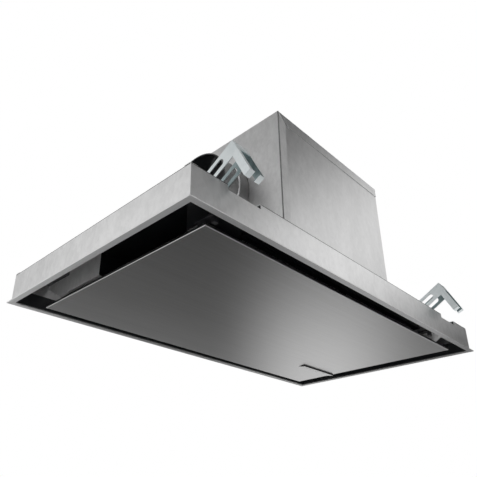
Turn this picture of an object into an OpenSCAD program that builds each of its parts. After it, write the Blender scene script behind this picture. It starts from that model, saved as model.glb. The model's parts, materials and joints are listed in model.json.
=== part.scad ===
// Ceiling range hood with perimeter suction, let into a rectangular cut-out in a flat ceiling.
// The origin is the centre of the cut-out, in the plane of the ceiling's lower face. +Z points up.
// X runs along the long side and Y along the short side. The suction panel is hinged along +Y.

/* [Ceiling flange] */
// Length of the stainless flange along X
flange_l = 900; // [890:1:915]
// Width of the stainless flange along Y
flange_w = 500; // [494:1:512]
// Thickness of the flange
flange_t = 2; // [1:0.1:3]
// Width of the flange's four bars
flange_bar = 11; // [9:0.5:14]

/* [Casing] */
// Width of the flange outside the casing's short walls
edge_x = 6; // [5.5:0.1:8]
// Width of the flange outside the casing's long walls
edge_y = 6.5; // [5.5:0.1:8]
// Height of the casing above the ceiling plane
casing_h = 56; // [54:0.5:60]
// Thickness of the galvanised sheet
sheet_t = 1; // [0.8:0.1:1.2]
// Width of the walls' top return
return_w = 12; // [8:1:16]
// Width of each clamp notch
notch_w = 69; // [66:1:76]
// Depth of each clamp notch
notch_h = 10; // [6:0.5:14]
// Distance of a notch's middle from the end of its wall
notch_end = 103; // [98:1:106]

/* [Air guide] */
// Height of the black air guide frame inside the walls
guide_h = 26; // [20:1:30]
// Thickness of the air guide frame
guide_t = 4.5; // [3:0.5:5]
// Distance of a clamp pocket's inner wall from the clamp's pivot
pocket_back = 14.9; // [14.8:0.1:15.2]

/* [Filters] */
// Distance of the filter frame from the casing's short walls
filter_end = 149; // [145:1:158]
// Distance of the filter frame from the casing's long walls
filter_side = 47.5; // [46.5:0.5:52]
// Height of the filter frame below the tray
filter_bay_h = 25; // [22:1:28]
// Thickness of the grease filters
filter_t = 9; // [7:0.5:11]
// Width of the aluminium border of a grease filter
filter_border = 14; // [10:1:20]

/* [Motor box] */
// Size of the motor box along X
box_l = 340; // [334:1:346]
// How much narrower than the casing the motor box is along Y
box_margin = 147; // [142:1:153]
// Height of the motor box's top above the ceiling plane
box_top = 304; // [300:1:312]
// Place of the motor box's middle along X
box_x = -52; // [-56:1:-48]
// Place of the motor box's middle along Y
box_y = -50; // [-54:1:-46]
// Width of the return flanges at the box's edges
box_flange = 20; // [15:1:26]

/* [Outlet] */
// Outer radius of the duct collar
collar_r = 74.5; // [72:0.1:75]
// Wall of the duct collar
collar_wall = 2.5; // [2:0.1:3]
// How far the duct collar stands out of the box
collar_out = 62.5; // [58:0.5:66]
// Distance of the collar's bead from the box
bead_out = 25.5; // [24:0.5:28]
// Distance of the collar's axis from the box's middle along Y
collar_side = 23; // [20:1:24]
// Height of the collar's axis over the casing's top, as a share of the box's height
collar_share = 0.462; // [0.45:0.002:0.48]

/* [Blower] */
// Radius of the impeller as a share of the box's smaller side
impeller_share = 0.247; // [0.235:0.001:0.25]
// Height of the impeller
impeller_h = 118; // [110:1:122]
// Number of impeller blades
blade_count = 28; // [20:1:36]
// Distance of the blower's axis from the box's middle along X
blower_dx = 32; // [28:1:34]
// Distance of the blower's axis from the box's middle along Y
blower_dy = 35; // [32:1:38]
// Radius of the motor as a share of the impeller's
motor_share = 0.5; // [0.45:0.01:0.52]
// Radius of the motor shaft
shaft_r = 4; // [3:0.5:5]
// Radius of the air hole under the blower as a share of the impeller's
air_hole_share = 1.14; // [1.08:0.01:1.18]

/* [Suction panel] */
// Gap between the panel and the opening's short sides
panel_gap_x = 49; // [44:1:54]
// Gap between the panel and the opening's long sides
panel_gap_y = 24.5; // [24:0.5:28]
// Thickness of the panel's sheet
panel_t = 1.2; // [1:0.1:1.5]
// Height of the panel's folded edge
panel_edge_h = 5; // [4:0.5:6]
// Depth of the panel's lower face under the ceiling plane
panel_drop = 4.5; // [4:0.5:6]
// Height of the panel's pivot above the ceiling plane
hinge_z = 12; // [11.5:0.5:14]
// Distance of the panel's pivot from its back edge
hinge_in = 8.5; // [7.5:0.5:9.5]
// Distance of a hinge from the middle of its notch
hinge_side = 91; // [71:1:111]
// Radius of the hinge pins
hinge_pin_r = 2.5; // [2:0.1:3]

/* [Controls] */
// Length of the control bar
bar_l = 128; // [120:1:136]
// Width of the control bar
bar_w = 18; // [16:0.5:20]
// Depth of the control bar's raised edge
bar_h = 3.5; // [2.5:0.1:4.5]
// Distance of the control bar's raised edge from the panel's back edge
bar_back = 113.5; // [110:0.5:117]
// Length of the three small keys
key_l = 11; // [8:0.5:13]
// Length of the fourth key
long_key_l = 16; // [14:0.5:18]
// Width of a key
key_w = 6; // [5:0.5:7]
// Distance between the first two keys
key_pitch = 20; // [17:0.5:21]
// Distance between the other keys
key_spread = 25.5; // [22:0.5:26]

/* [Ceiling clamps] */
// Distance of each clamp from the middle of its notch
clamp_shift = 18; // [14:0.5:18]
// Distance of the clamp's apex outside the casing
apex_out = 6.5; // [4.5:0.5:9]
// Height of the clamp's apex
apex_z = 129; // [127:0.5:132]
// Width of a clamp over its two cheeks
clamp_w = 30; // [28:0.5:31]
// Thickness of the clamp's sheet
clamp_t = 1.5; // [1:0.1:2]
// Width of the clamp's leg
leg_w = 25.6; // [24:0.2:26]
// Distance along the leg from the apex to the pivot
leg_l = 92; // [90:0.5:93]
// Fall of the leg below level, in degrees
leg_fall = 30; // [29:0.5:31]
// Width of the clamp's arm
arm_w = 12.3; // [10:0.1:14]
// Length of the clamp's arm
arm_l = 75; // [66:0.5:76]
// Fall of the arm below level, in degrees
arm_fall = 64; // [62:0.5:66]
// Radius of the clamp's pivot studs
stud_r = 3; // [2.5:0.1:3.5]
// Radius of the clamp screws
screw_r = 3; // [2.5:0.1:3.5]
// Travel of the clamps down their screws
clamp_travel = 40; // [36:0.5:40]

/* [Hidden] */

// Overrun of every cut past the face it opens
cut = 1;
// Radial clearance of a pin that turns or slides in its hole
run_gap = 0.08;
// Clearance beside a part that moves
side_gap = 0.3;
// Clearance between a fixed part and the wall it stands in
fit_gap = 0.5;
// Roundness of pins, bores and tubes
fine = 64;
// Roundness of small fasteners
coarse = 24;

// The casing stands inside the flange's edge, and the opening is inside its bars
opening_l = flange_l - 2*flange_bar;
opening_w = flange_w - 2*flange_bar;
casing_l = flange_l - 2*edge_x;
casing_w = flange_w - 2*edge_y;
notch_x = casing_l/2 - notch_end;
foot_relief = 0.3;

// Inner faces of the casing and the levels under its top
casing_in_x = casing_l/2 - sheet_t;
casing_in_y = casing_w/2 - sheet_t;
plate_z = casing_h - 2*sheet_t;
tray_t = 1;
tray_z = plate_z - tray_t;

// The filter bay hangs from the tray
bay_t = 1.2;
bay_lip = 12;
bay_z = tray_z - filter_bay_h;
filter_bay_l = casing_l - 2*filter_end;
filter_bay_w = casing_w - 2*filter_side;
filter_gap = 2;
filter_l = (filter_bay_l - 2*bay_t - 3*filter_gap)/2;
filter_w = filter_bay_w - 2*bay_t - 2*filter_gap;
filter_z = bay_z + bay_t;
filter_core_t = 3;
filter_core_z = filter_z + (filter_t - filter_core_t)/2;
handle_l = 60;
handle_r = 2;
handle_drop = 12;
handle_inset = 40;

// Housing of the power electronics, beside the filters
ctrl_end = 58;
ctrl_x0 = ctrl_end - casing_l/2;
ctrl_l = 84;
ctrl_y0 = 48;
ctrl_w = 102;
ctrl_h = 43;

// The motor box stands on the top plate
box_w = casing_w - box_margin;
box_x0 = box_x - box_l/2;
box_x1 = box_x + box_l/2;
box_y0 = box_y - box_w/2;
box_y1 = box_y + box_w/2;
box_z0 = plate_z + sheet_t;

// The duct collar, its clamping disc and its flaps
collar_y = box_y - collar_side;
collar_z = box_z0 + (box_top - box_z0)*collar_share;
collar_bore_r = collar_r - collar_wall;
collar_neck = 0.6;
bead_r = 1.2;
bead_w = 4.8;
collar_disc_r = 92;
collar_disc_t = 1.5;
flap_t = 1.6;
flap_r = collar_bore_r - fit_gap;
flap_depth = 40;
flap_x = box_x0 - collar_out + flap_depth;
flap_stop = 3;
flap_stop_t = 1.5;
flap_pin_r = 2;
knuckle_r = 4;
knuckle_h = 24;
knuckle_z = 34;

// The blower's axis, its radii and its levels, from the inlet up to the motor bracket
blower_x = box_x + blower_dx;
blower_y = box_y + blower_dy;
impeller_r = min(box_l, box_w)*impeller_share;
motor_r = impeller_r*motor_share;
air_hole_r = impeller_r*air_hole_share;
scroll_room = 32;
scroll_h = impeller_h + scroll_room;
scroll_z = collar_z - scroll_h/2;
scroll_t = 2.5;
scroll_gap = 8;
scroll_r0 = impeller_r + scroll_gap;
scroll_growth = 32;
scroll_sweep = 290;
tongue_angle = 200;
scroll_steps = 58;
inlet_share = 0.785;
inlet_r = impeller_r*inlet_share;
inlet_lip = 6;
inlet_gap = 14;
impeller_z = scroll_z + inlet_gap;
impeller_t = 2;
blade_share = 0.2;
blade_l = impeller_r*blade_share;
blade_t = 1.2;
blade_lean = 32;
blade_inset = 1;
hub_wall = 2;
hub_gap = 3;
hub_h = 52;
motor_h = 60;
motor_hole_gap = 6;
motor_hole_r = motor_r + motor_hole_gap;
bracket_share = 0.76;
bracket_r = impeller_r*bracket_share;
bracket_t = 2;
bush_r = 6;
bush_h = 8;
bush_count = 3;
bush_share = 0.67;
bush_circle_r = impeller_r*bush_share;
motor_z = scroll_z + scroll_h + bush_h - motor_h;
shaft_h = 66;
boss_r = 9;
boss_h = 14;
cap_r = 17;
cap_h = 62;
cap_x = 40;
cap_y = 42;

// The panel, its inner pan and its hinges
panel_l = opening_l - 2*panel_gap_x;
panel_w = opening_w - 2*panel_gap_y;
hinge_x = notch_x - hinge_side;
hinge_y = panel_w/2 - hinge_in;
pan_inset = 6;
pan_wall = 5;
pan_t = 1.5;
pan_top = 4.5;
pan_rib_t = 2;
pan_rib_count = 5;
panel_z = -panel_drop;
pan_z = panel_z + panel_t;
arm_t = 3;
arm_y = 8;
arm_top = 6;
hinge_plate_t = 3;
hinge_plate_w = 12;
hinge_foot = 20;
hinge_foot_t = 1.5;
pin_head_r = 4;
pin_head_t = 1.5;

// The two catches on the front side of the opening
catch_end = 125;
catch_x = [pan_inset - panel_l/2, panel_l/2 - catch_end];
catch_l = 14;
catch_z0 = 1;
catch_z1 = 20;
catch_t = 3;
lug_l = 8;
lug_w = 7;
lug_out = 7;
lug_drop = 4;
strike_l = 30;
strike_w = 16;
strike_t = 1.5;
magnet_gap = 0.3;

// The control bar, its keys and the board behind them
bar_inset = 1;
bar_x1 = panel_l/2 - bar_inset;
bar_x0 = bar_x1 - bar_l;
bar_y = panel_w/2 - bar_back;
bar_rest_h = 0.4;
key_first = 26;
key_gap = 0.3;
key_proud = 0.3;
key_travel = 1;
key_y_share = 0.62;
key_y = bar_y + bar_w*key_y_share;
key_flange = 1.2;
board_t = 1.6;
board_w = 26;
board_l = 110;
key_stop = 1.2;

// The clamps, in a frame whose X points away from the hood's middle
clamp_x = [notch_x + clamp_shift, -notch_x + clamp_shift];
leg_dir = [-cos(leg_fall), -sin(leg_fall)];
leg_side = [sin(leg_fall), -cos(leg_fall)];
arm_dir = [cos(arm_fall), -sin(arm_fall)];
arm_side = [-sin(arm_fall), -cos(arm_fall)];
apex = [casing_w/2 + apex_out, apex_z];
pivot = apex + leg_l*leg_dir + leg_w/2*leg_side;
corner_angle = 180 - leg_fall - arm_fall;
elbow = apex + arm_w/sin(corner_angle)*leg_dir + leg_w/sin(corner_angle)*arm_dir;
slot_w = 11.5;
slot_from = 34;
slot_to = 72;
strap_l = 19;
web_w = 5;
foot_l = 8.5;
cheek_in = clamp_w/2 - clamp_t;
carrier_w = 2*(cheek_in - side_gap);
carrier_back = 12;
carrier_front = 13;
carrier_down = 11.5;
carrier_up = 10;
stud_end = 1;
tower_t = 1.5;
tower_w = 24;
tower_foot = 22;
tower_gap = 0.3;
pocket_in = pivot[0] - pocket_back;
tower_y1 = pocket_in - tower_gap;
tower_rise = 18;
tower_top = pivot[1] + tower_rise;
tower_reach = 28;
tower_floor = plate_z + sheet_t;
pocket_t = 1;
pocket_gap = 9;
pocket_out = casing_in_y - fit_gap;
pocket_lip = casing_h - notch_h;
pocket_under = 4;
pocket_floor = pivot[1] - leg_w/2 - clamp_travel - pocket_under;
screw_head_r = 5.5;
screw_head_h = 5;
screw_end = 3;
screw_top = tower_top + screw_end;

// The mains terminal box on top of the casing
term_l = 90;
term_w = 70;
term_h = 34;
term_t = 2;
term_end = 229;
term_side = 183.5;
term_x = casing_l/2 - term_end;
term_y = casing_w/2 - term_side;
lid_t = 3;
gland_r = 9;
gland_bore_r = 4;
gland_l = 20;
gland_nut_r = 12;
gland_nut_t = 6;
thread_t = 1.5;

// Fasteners
rivet_r = 3;
rivet_h = 1.2;
rivet_edge = 6;
rivet_share = [-0.92, -0.55, -0.18, 0.18, 0.55, 0.92];
rivet_end_share = [-0.7, 0, 0.7];
head_r = 3.6;
head_h = 1.6;
screw_inset = 10;
screw_share = [-0.38, 0, 0.38];

// A flat ring with straight sides, in the plan view
module frame_2d(l, w, li, wi) {
    difference() {
        square([l, w], center=true);
        square([li, wi], center=true);
    }
}

// A slot with round ends from a to b
module slot_2d(a, b, w) {
    d = b - a;
    translate(a) circle(d=w, $fn=fine);
    translate(b) circle(d=w, $fn=fine);
    translate(a) rotate(atan2(d[1], d[0])) translate([0, -w/2]) square([norm(d), w]);
}

// Turns a profile drawn away from the middle and up into a plate of thickness t centred at x
module across(x, t) {
    translate([x - t/2, 0, 0]) rotate([90, 0, 90]) linear_extrude(t) children();
}

// Places its children, made at the back, at a clamp's own side and corner
module at_clamp(front, side) {
    rotate(front ? 180 : 0) translate([clamp_x[side], 0, 0]) children();
}

// The four notches and the pockets behind them, in the plan view
module notch_plan_2d(y0, y1) {
    for (turn = [0, 180], sx = [-1, 1])
        rotate(turn) translate([sx*notch_x - notch_w/2, y0]) square([notch_w, y1 - y0]);
}

// Ceiling flange, with a shallow relief along the foot of the walls
module rim_frame() {
    color("silver") difference() {
        translate([0, 0, -flange_t]) linear_extrude(flange_t)
            frame_2d(flange_l, flange_w, opening_l, opening_w);
        translate([0, 0, -foot_relief]) linear_extrude(foot_relief + cut)
            frame_2d(casing_l + 2*foot_relief, casing_w + 2*foot_relief, casing_l, casing_w);
    }
}

// A long wall with its notches, made at the back
module long_wall() {
    difference() {
        union() {
            translate([-casing_l/2, casing_in_y, 0]) cube([casing_l, sheet_t, casing_h]);
            translate([-casing_in_x, casing_in_y - return_w, casing_h - sheet_t])
                cube([2*casing_in_x, return_w + sheet_t/2, sheet_t]);
        }
        for (sx = [-1, 1])
            translate([sx*notch_x - notch_w/2, casing_in_y - return_w - cut, casing_h - notch_h])
                cube([notch_w, return_w + sheet_t + 2*cut, notch_h + cut]);
    }
}

// A short wall between the long ones, made at the right
module short_wall() {
    translate([casing_in_x, -casing_in_y, 0]) cube([sheet_t, 2*casing_in_y, casing_h]);
    translate([casing_in_x - return_w, return_w - casing_in_y, casing_h - sheet_t])
        cube([return_w + sheet_t/2, 2*(casing_in_y - return_w), sheet_t]);
}

module wall_left() { color("lightgray") rotate(180) short_wall(); }
module wall_right() { color("lightgray") short_wall(); }
module wall_front() { color("lightgray") rotate(180) long_wall(); }
module wall_back() { color("lightgray") long_wall(); }

// Galvanised top of the casing, open over the clamps and under the blower
module top_plate() {
    color("gainsboro") translate([0, 0, plate_z]) linear_extrude(sheet_t) difference() {
        square([2*casing_in_x, 2*casing_in_y], center=true);
        notch_plan_2d(pocket_in, casing_in_y + cut);
        translate([blower_x, blower_y]) circle(r=air_hole_r, $fn=fine);
    }
}

// Depth of a pocket's sloping floor at a distance from the middle
function pocket_floor_at(y) =
    max(pocket_floor, elbow[1] - clamp_travel - pocket_gap - (elbow[0] - y)*tan(leg_fall));
pocket_bend = elbow[0] - (elbow[1] - clamp_travel - pocket_gap - pocket_floor)/tan(leg_fall);

// Side view of a pocket, larger by grow on the sides that have a wall
module pocket_2d(grow) {
    polygon([
        [pocket_in - grow, pocket_floor - grow], [pocket_bend + grow/2, pocket_floor - grow],
        [pocket_out, pocket_floor_at(pocket_out) - grow], [pocket_out, tray_z], [pocket_in - grow, tray_z]
    ]);
}

// One black pocket that lets a clamp sink into the casing, made at the back
module pocket() {
    difference() {
        across(0, notch_w + 2*pocket_t) pocket_2d(pocket_t);
        across(0, notch_w) polygon([
            [pocket_in, pocket_floor], [pocket_bend, pocket_floor],
            [pocket_out - pocket_t, pocket_floor_at(pocket_out - pocket_t)],
            [pocket_out - pocket_t, pocket_lip], [pocket_out + cut, pocket_lip],
            [pocket_out + cut, tray_z + cut], [pocket_in, tray_z + cut]
        ]);
    }
}

// Black tray under the top plate
module air_tray() {
    color("dimgray") translate([0, 0, tray_z]) linear_extrude(tray_t) difference() {
        square([2*(casing_in_x - fit_gap), 2*(casing_in_y - fit_gap)], center=true);
        notch_plan_2d(pocket_in, casing_in_y + cut);
        translate([blower_x, blower_y]) circle(r=air_hole_r, $fn=fine);
    }
}

// The four clamp pockets, hanging from the tray
module clamp_pockets() {
    color("dimgray") difference() {
        for (turn = [0, 180], sx = [-1, 1]) rotate(turn) translate([sx*notch_x, 0, 0]) pocket();
        for (front = [false, true], side = [0, 1]) at_clamp(front, side)
            translate([0, pivot[0], pocket_floor - pocket_t - cut])
                cylinder(r=screw_r + fit_gap, h=pocket_t + 2*cut, $fn=fine);
    }
}

// Black upstand that guides the air past the edge of the opening
module air_guide_frame() {
    color("black") linear_extrude(guide_h) frame_2d(
        2*(casing_in_x - fit_gap), 2*(casing_in_y - fit_gap),
        2*(casing_in_x - fit_gap - guide_t), 2*(casing_in_y - fit_gap - guide_t));
}

// Frame that carries the two grease filters
module filter_frame() {
    color("black") {
        translate([0, 0, bay_z]) linear_extrude(filter_bay_h)
            frame_2d(filter_bay_l, filter_bay_w, filter_bay_l - 2*bay_t, filter_bay_w - 2*bay_t);
        translate([0, 0, bay_z]) linear_extrude(bay_t)
            frame_2d(filter_bay_l - bay_t, filter_bay_w - bay_t,
                filter_bay_l - 2*bay_lip, filter_bay_w - 2*bay_lip);
        translate([-bay_lip, bay_t - filter_bay_w/2, bay_z])
            cube([2*bay_lip, filter_bay_w - 2*bay_t, bay_t]);
    }
}

// One grease filter, made at the right
module grease_filter() {
    translate([filter_gap/2, -filter_w/2, filter_z]) difference() {
        cube([filter_l, filter_w, filter_t]);
        translate([filter_border, filter_border, -cut])
            cube([filter_l - 2*filter_border, filter_w - 2*filter_border, filter_t + 2*cut]);
    }
    translate([filter_gap/2 + filter_border, filter_border - filter_w/2, filter_core_z])
        cube([filter_l - 2*filter_border, filter_w - 2*filter_border, filter_core_t]);
}

module grease_filter_left() { color("darkgray") rotate(180) grease_filter(); }
module grease_filter_right() { color("darkgray") grease_filter(); }

// A folded wire handle under each filter
module filter_handles() {
    color("silver") for (turn = [0, 180]) rotate(turn)
        translate([filter_gap/2 + filter_l/2, handle_inset - filter_w/2, filter_core_z]) {
            for (sx = [-1, 1]) translate([sx*handle_l/2, 0, -handle_drop])
                cylinder(r=handle_r, h=handle_drop, $fn=coarse);
            translate([-handle_l/2 - handle_r, 0, -handle_drop]) rotate([0, 90, 0])
                cylinder(r=handle_r, h=handle_l + 2*handle_r, $fn=coarse);
        }
}

// Galvanised housing of the power electronics, beside the filters
module control_box() {
    color("lightgray") translate([ctrl_x0, ctrl_y0, tray_z - ctrl_h]) difference() {
        cube([ctrl_l, ctrl_w, ctrl_h]);
        translate([sheet_t, sheet_t, sheet_t]) cube([ctrl_l - 2*sheet_t, ctrl_w - 2*sheet_t, ctrl_h]);
    }
}

// Left side of the motor box, with the hole for the collar and the two mitred returns
module box_left() {
    side_h = box_top - box_z0;
    color("lightgray") difference() {
        union() {
            translate([box_x0, box_y0, box_z0]) cube([sheet_t, box_w, side_h]);
            for (y = [box_y0, box_y1 - sheet_t]) translate([0, y + sheet_t, 0]) rotate([90, 0, 0])
                linear_extrude(sheet_t) polygon([
                    [box_x0, box_z0], [box_x0 + box_flange, box_z0],
                    [box_x0 + box_flange, box_top - box_flange], [box_x0, box_top]
                ]);
        }
        translate([box_x0 - cut, collar_y, collar_z]) rotate([0, 90, 0])
            cylinder(r=collar_r + side_gap, h=sheet_t + 2*cut, $fn=fine);
    }
}

// Right side of the motor box, between the front and the back
module box_right() {
    color("lightgray") translate([box_x1 - sheet_t, box_y0 + 2*sheet_t, box_z0])
        cube([sheet_t, box_w - 4*sheet_t, box_top - sheet_t - box_z0]);
}

// Front and back of the motor box, set back behind the returns
module box_face(y) {
    translate([box_x0 + sheet_t, y, box_z0])
        cube([box_l - sheet_t, sheet_t, box_top - sheet_t - box_z0]);
}

module box_front() { color("lightgray") box_face(box_y0 + sheet_t); }
module box_back() { color("lightgray") box_face(box_y1 - 2*sheet_t); }

// Cover of the motor box, folded down over three sides
module box_cover() {
    color("lightgray") {
        translate([box_x0 + sheet_t, box_y0 + sheet_t, box_top - sheet_t])
            cube([box_l, box_w - 2*sheet_t, sheet_t]);
        for (y = [box_y0, box_y1 - sheet_t]) translate([0, y + sheet_t, 0]) rotate([90, 0, 0])
            linear_extrude(sheet_t) polygon([
                [box_x0 + sheet_t, box_top], [box_x0 + sheet_t, box_top - sheet_t + side_gap],
                [box_x0 + side_gap + box_flange, box_top - box_flange],
                [box_x1 + sheet_t, box_top - box_flange], [box_x1 + sheet_t, box_top]
            ]);
        translate([box_x1, box_y0 + sheet_t, box_top - box_flange])
            cube([sheet_t, box_w - 2*sheet_t, box_flange]);
    }
}

// Puts a shape turned about Z onto the collar's axis, its Z pointing out of the box
module on_collar(x) {
    translate([x, collar_y, collar_z]) rotate([0, -90, 0]) children();
}

// Duct collar with its inner disc, its neck in the box's sheet, its bead and its flap stop
module duct_collar() {
    inner_x = box_x0 + sheet_t + collar_disc_t;
    collar_l = collar_out + sheet_t + collar_disc_t;
    bead_at = bead_out + sheet_t + collar_disc_t;
    neck_r = collar_r - collar_neck;
    neck_end = collar_disc_t + sheet_t + side_gap;
    stop_at = inner_x - flap_x - flap_t/2 - side_gap;
    color("dimgray") difference() {
        union() {
            on_collar(inner_x) difference() {
                rotate_extrude($fn=2*fine) polygon([
                    [collar_bore_r, 0], [collar_disc_r, 0], [collar_disc_r, collar_disc_t],
                    [neck_r, collar_disc_t], [neck_r, neck_end],
                    [collar_r, neck_end], [collar_r, bead_at - bead_w/2],
                    [collar_r + bead_r, bead_at - bead_w/4], [collar_r + bead_r, bead_at + bead_w/4],
                    [collar_r, bead_at + bead_w/2], [collar_r, collar_l - 3*bead_r],
                    [collar_r - bead_r, collar_l], [collar_bore_r, collar_l],
                    [collar_bore_r, stop_at], [collar_bore_r - flap_stop, stop_at],
                    [collar_bore_r - flap_stop, stop_at - flap_stop_t],
                    [collar_bore_r, stop_at - flap_stop_t]
                ]);
            }
        }
        translate([flap_x, collar_y, collar_z - collar_bore_r - collar_wall/2])
            cylinder(r=flap_pin_r, h=2*collar_bore_r + collar_wall, $fn=fine);
    }
}

// Upright pin that both flaps turn on
module flap_pin() {
    color("silver") translate([flap_x, collar_y, collar_z - collar_bore_r - collar_wall/2])
        cylinder(r=flap_pin_r, h=2*collar_bore_r + collar_wall, $fn=fine);
}

// A half-round flap, made for the far side; turn is 0 or 180 about the collar's axis
module flap(turn) {
    color("black") translate([flap_x, collar_y, collar_z]) rotate([turn, 0, 0]) difference() {
        union() {
            intersection() {
                rotate([0, 90, 0]) translate([0, 0, -flap_t/2]) cylinder(r=flap_r, h=flap_t, $fn=2*fine);
                translate([-flap_t, knuckle_r, -flap_r]) cube([2*flap_t, flap_r, 2*flap_r]);
            }
            for (z = [-knuckle_z - knuckle_h, knuckle_z - knuckle_h - side_gap])
                translate([0, 0, z]) {
                    cylinder(r=knuckle_r, h=knuckle_h, $fn=fine);
                    translate([-flap_t/2, 0, 0]) cube([flap_t, 2*knuckle_r, knuckle_h]);
                }
        }
        translate([0, 0, -flap_r - cut]) cylinder(r=flap_pin_r + run_gap, h=2*(flap_r + cut), $fn=fine);
        for (z = [-knuckle_z, knuckle_z])
            translate([-knuckle_r - side_gap, -knuckle_r - side_gap, z])
                cube([2*(knuckle_r + side_gap), 2*(knuckle_r + side_gap), knuckle_h + side_gap]);
    }
}

module flap_near() { flap(180); }
module flap_far() { flap(0); }

// Plan of the scroll's spiral and outlet, larger by grow
function spiral_at(i, grow) =
    let (turned = scroll_sweep*i/scroll_steps, angle = tongue_angle - turned,
         r = scroll_r0 + scroll_growth*i/scroll_steps + grow)
    [r*cos(angle), r*sin(angle)];
outlet_x = box_x0 + sheet_t + collar_disc_t - blower_x;
outlet_y0 = collar_y - collar_bore_r - blower_y;
outlet_y1 = collar_y + collar_bore_r - blower_y;
module scroll_2d(grow, reach) {
    polygon(concat(
        [for (i = [0:scroll_steps]) spiral_at(i, grow)],
        [[outlet_x - reach, outlet_y0 - grow], [outlet_x - reach, outlet_y1 + grow]]
    ));
}

// Lower half of the scroll, with its inlet
module scroll_lower() {
    color("gray") translate([blower_x, blower_y, scroll_z]) difference() {
        linear_extrude(scroll_h/2) scroll_2d(scroll_t, 0);
        translate([0, 0, scroll_t]) linear_extrude(scroll_h) scroll_2d(0, cut);
        translate([0, 0, -cut]) cylinder(r=inlet_r + inlet_lip, h=scroll_t + 2*cut, $fn=fine);
    }
}

// Upper half of the scroll, with the hole for the motor
module scroll_upper() {
    color("gray") translate([blower_x, blower_y, scroll_z + scroll_h/2]) difference() {
        linear_extrude(scroll_h/2) scroll_2d(scroll_t, 0);
        translate([0, 0, -cut]) linear_extrude(scroll_h/2 - scroll_t + cut) scroll_2d(0, cut);
        cylinder(r=motor_hole_r, h=scroll_h, $fn=fine);
    }
}

// Bell mouth of the blower's inlet
module inlet_ring() {
    color("silver") translate([blower_x, blower_y, scroll_z - sheet_t]) rotate_extrude($fn=fine) polygon([
        [inlet_r, 0], [inlet_r + 2*inlet_lip, 0], [inlet_r + 2*inlet_lip, sheet_t],
        [inlet_r + sheet_t, sheet_t], [inlet_r + sheet_t, inlet_lip], [inlet_r, inlet_lip]
    ]);
}

// Impeller with a cup round the motor
module impeller() {
    hub_r = motor_r + hub_gap;
    top = impeller_z + impeller_h;
    color("black") translate([blower_x, blower_y, 0]) {
        translate([0, 0, impeller_z]) linear_extrude(impeller_t) difference() {
            circle(r=impeller_r, $fn=fine);
            circle(r=impeller_r - blade_l, $fn=fine);
        }
        translate([0, 0, top - impeller_t]) linear_extrude(impeller_t) difference() {
            circle(r=impeller_r, $fn=fine);
            circle(r=hub_r, $fn=fine);
        }
        for (i = [0:blade_count - 1]) rotate(i*360/blade_count)
            translate([impeller_r - blade_l/2, 0, impeller_z]) rotate(blade_lean)
                translate([blade_inset - blade_l/2, -blade_t/2, 0])
                    cube([blade_l - 2*blade_inset, blade_t, impeller_h]);
        translate([0, 0, top - hub_h]) linear_extrude(hub_h) difference() {
            circle(r=hub_r + hub_wall, $fn=fine);
            circle(r=hub_r, $fn=fine);
        }
        translate([0, 0, top - hub_h]) difference() {
            union() {
                cylinder(r=hub_r + hub_wall/2, h=hub_wall, $fn=fine);
                translate([0, 0, hub_wall - boss_h]) cylinder(r=boss_r, h=boss_h, $fn=fine);
            }
            translate([0, 0, -boss_h]) cylinder(r=shaft_r + run_gap, h=2*boss_h, $fn=fine);
        }
    }
}

// Shaft, fixed in the impeller's boss and turning in the motor
module motor_shaft() {
    color("silver") translate([blower_x, blower_y, impeller_z + impeller_h - hub_h + hub_wall - boss_h])
        cylinder(r=shaft_r, h=shaft_h, $fn=fine);
}

// Motor, hanging from its bracket
module motor() {
    color("dimgray") translate([blower_x, blower_y, motor_z]) difference() {
        cylinder(r=motor_r, h=motor_h, $fn=fine);
        translate([0, 0, -cut]) cylinder(r=shaft_r + run_gap, h=motor_h - hub_wall + cut, $fn=fine);
    }
}

// Bracket that carries the motor on three rubber bushes
module motor_bracket() {
    color("silver") translate([blower_x, blower_y, scroll_z + scroll_h + bush_h])
        cylinder(r=bracket_r, h=bracket_t, $fn=fine);
}

module motor_bushes() {
    color("black") for (i = [0:bush_count - 1]) translate([blower_x, blower_y, scroll_z + scroll_h])
        rotate(i*360/bush_count) translate([bush_circle_r, 0, 0]) cylinder(r=bush_r, h=bush_h, $fn=fine);
}

// Run capacitor, standing on the top plate in the corner of the box
module capacitor() {
    color("white") translate([box_x1 - cap_x, box_y1 - cap_y, box_z0])
        cylinder(r=cap_r, h=cap_h, $fn=fine);
}

// Mains terminal box with its lid and gland
module terminal_box() {
    color("black") translate([term_x, term_y, box_z0]) difference() {
        cube([term_l, term_w, term_h]);
        translate([term_t, term_t, term_t]) cube([term_l - 2*term_t, term_w - 2*term_t, term_h]);
        translate([term_l - term_t - cut, term_w/2, term_h/2]) rotate([0, 90, 0])
            cylinder(r=gland_r - thread_t + run_gap, h=term_t + 2*cut, $fn=fine);
    }
}

module terminal_lid() {
    color("black") translate([term_x, term_y, box_z0 + term_h]) cube([term_l, term_w, lid_t]);
}

module cable_gland() {
    color("black") translate([term_x + term_l, term_y + term_w/2, box_z0 + term_h/2]) rotate([0, 90, 0])
        difference() {
            union() {
                cylinder(r=gland_r, h=gland_l, $fn=fine);
                cylinder(r=gland_nut_r, h=gland_nut_t, $fn=6);
                translate([0, 0, -term_t]) cylinder(r=gland_r - thread_t, h=term_t, $fn=fine);
            }
            translate([0, 0, -term_t - cut])
                cylinder(r=gland_bore_r, h=gland_l + term_t + 2*cut, $fn=fine);
        }
}

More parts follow.
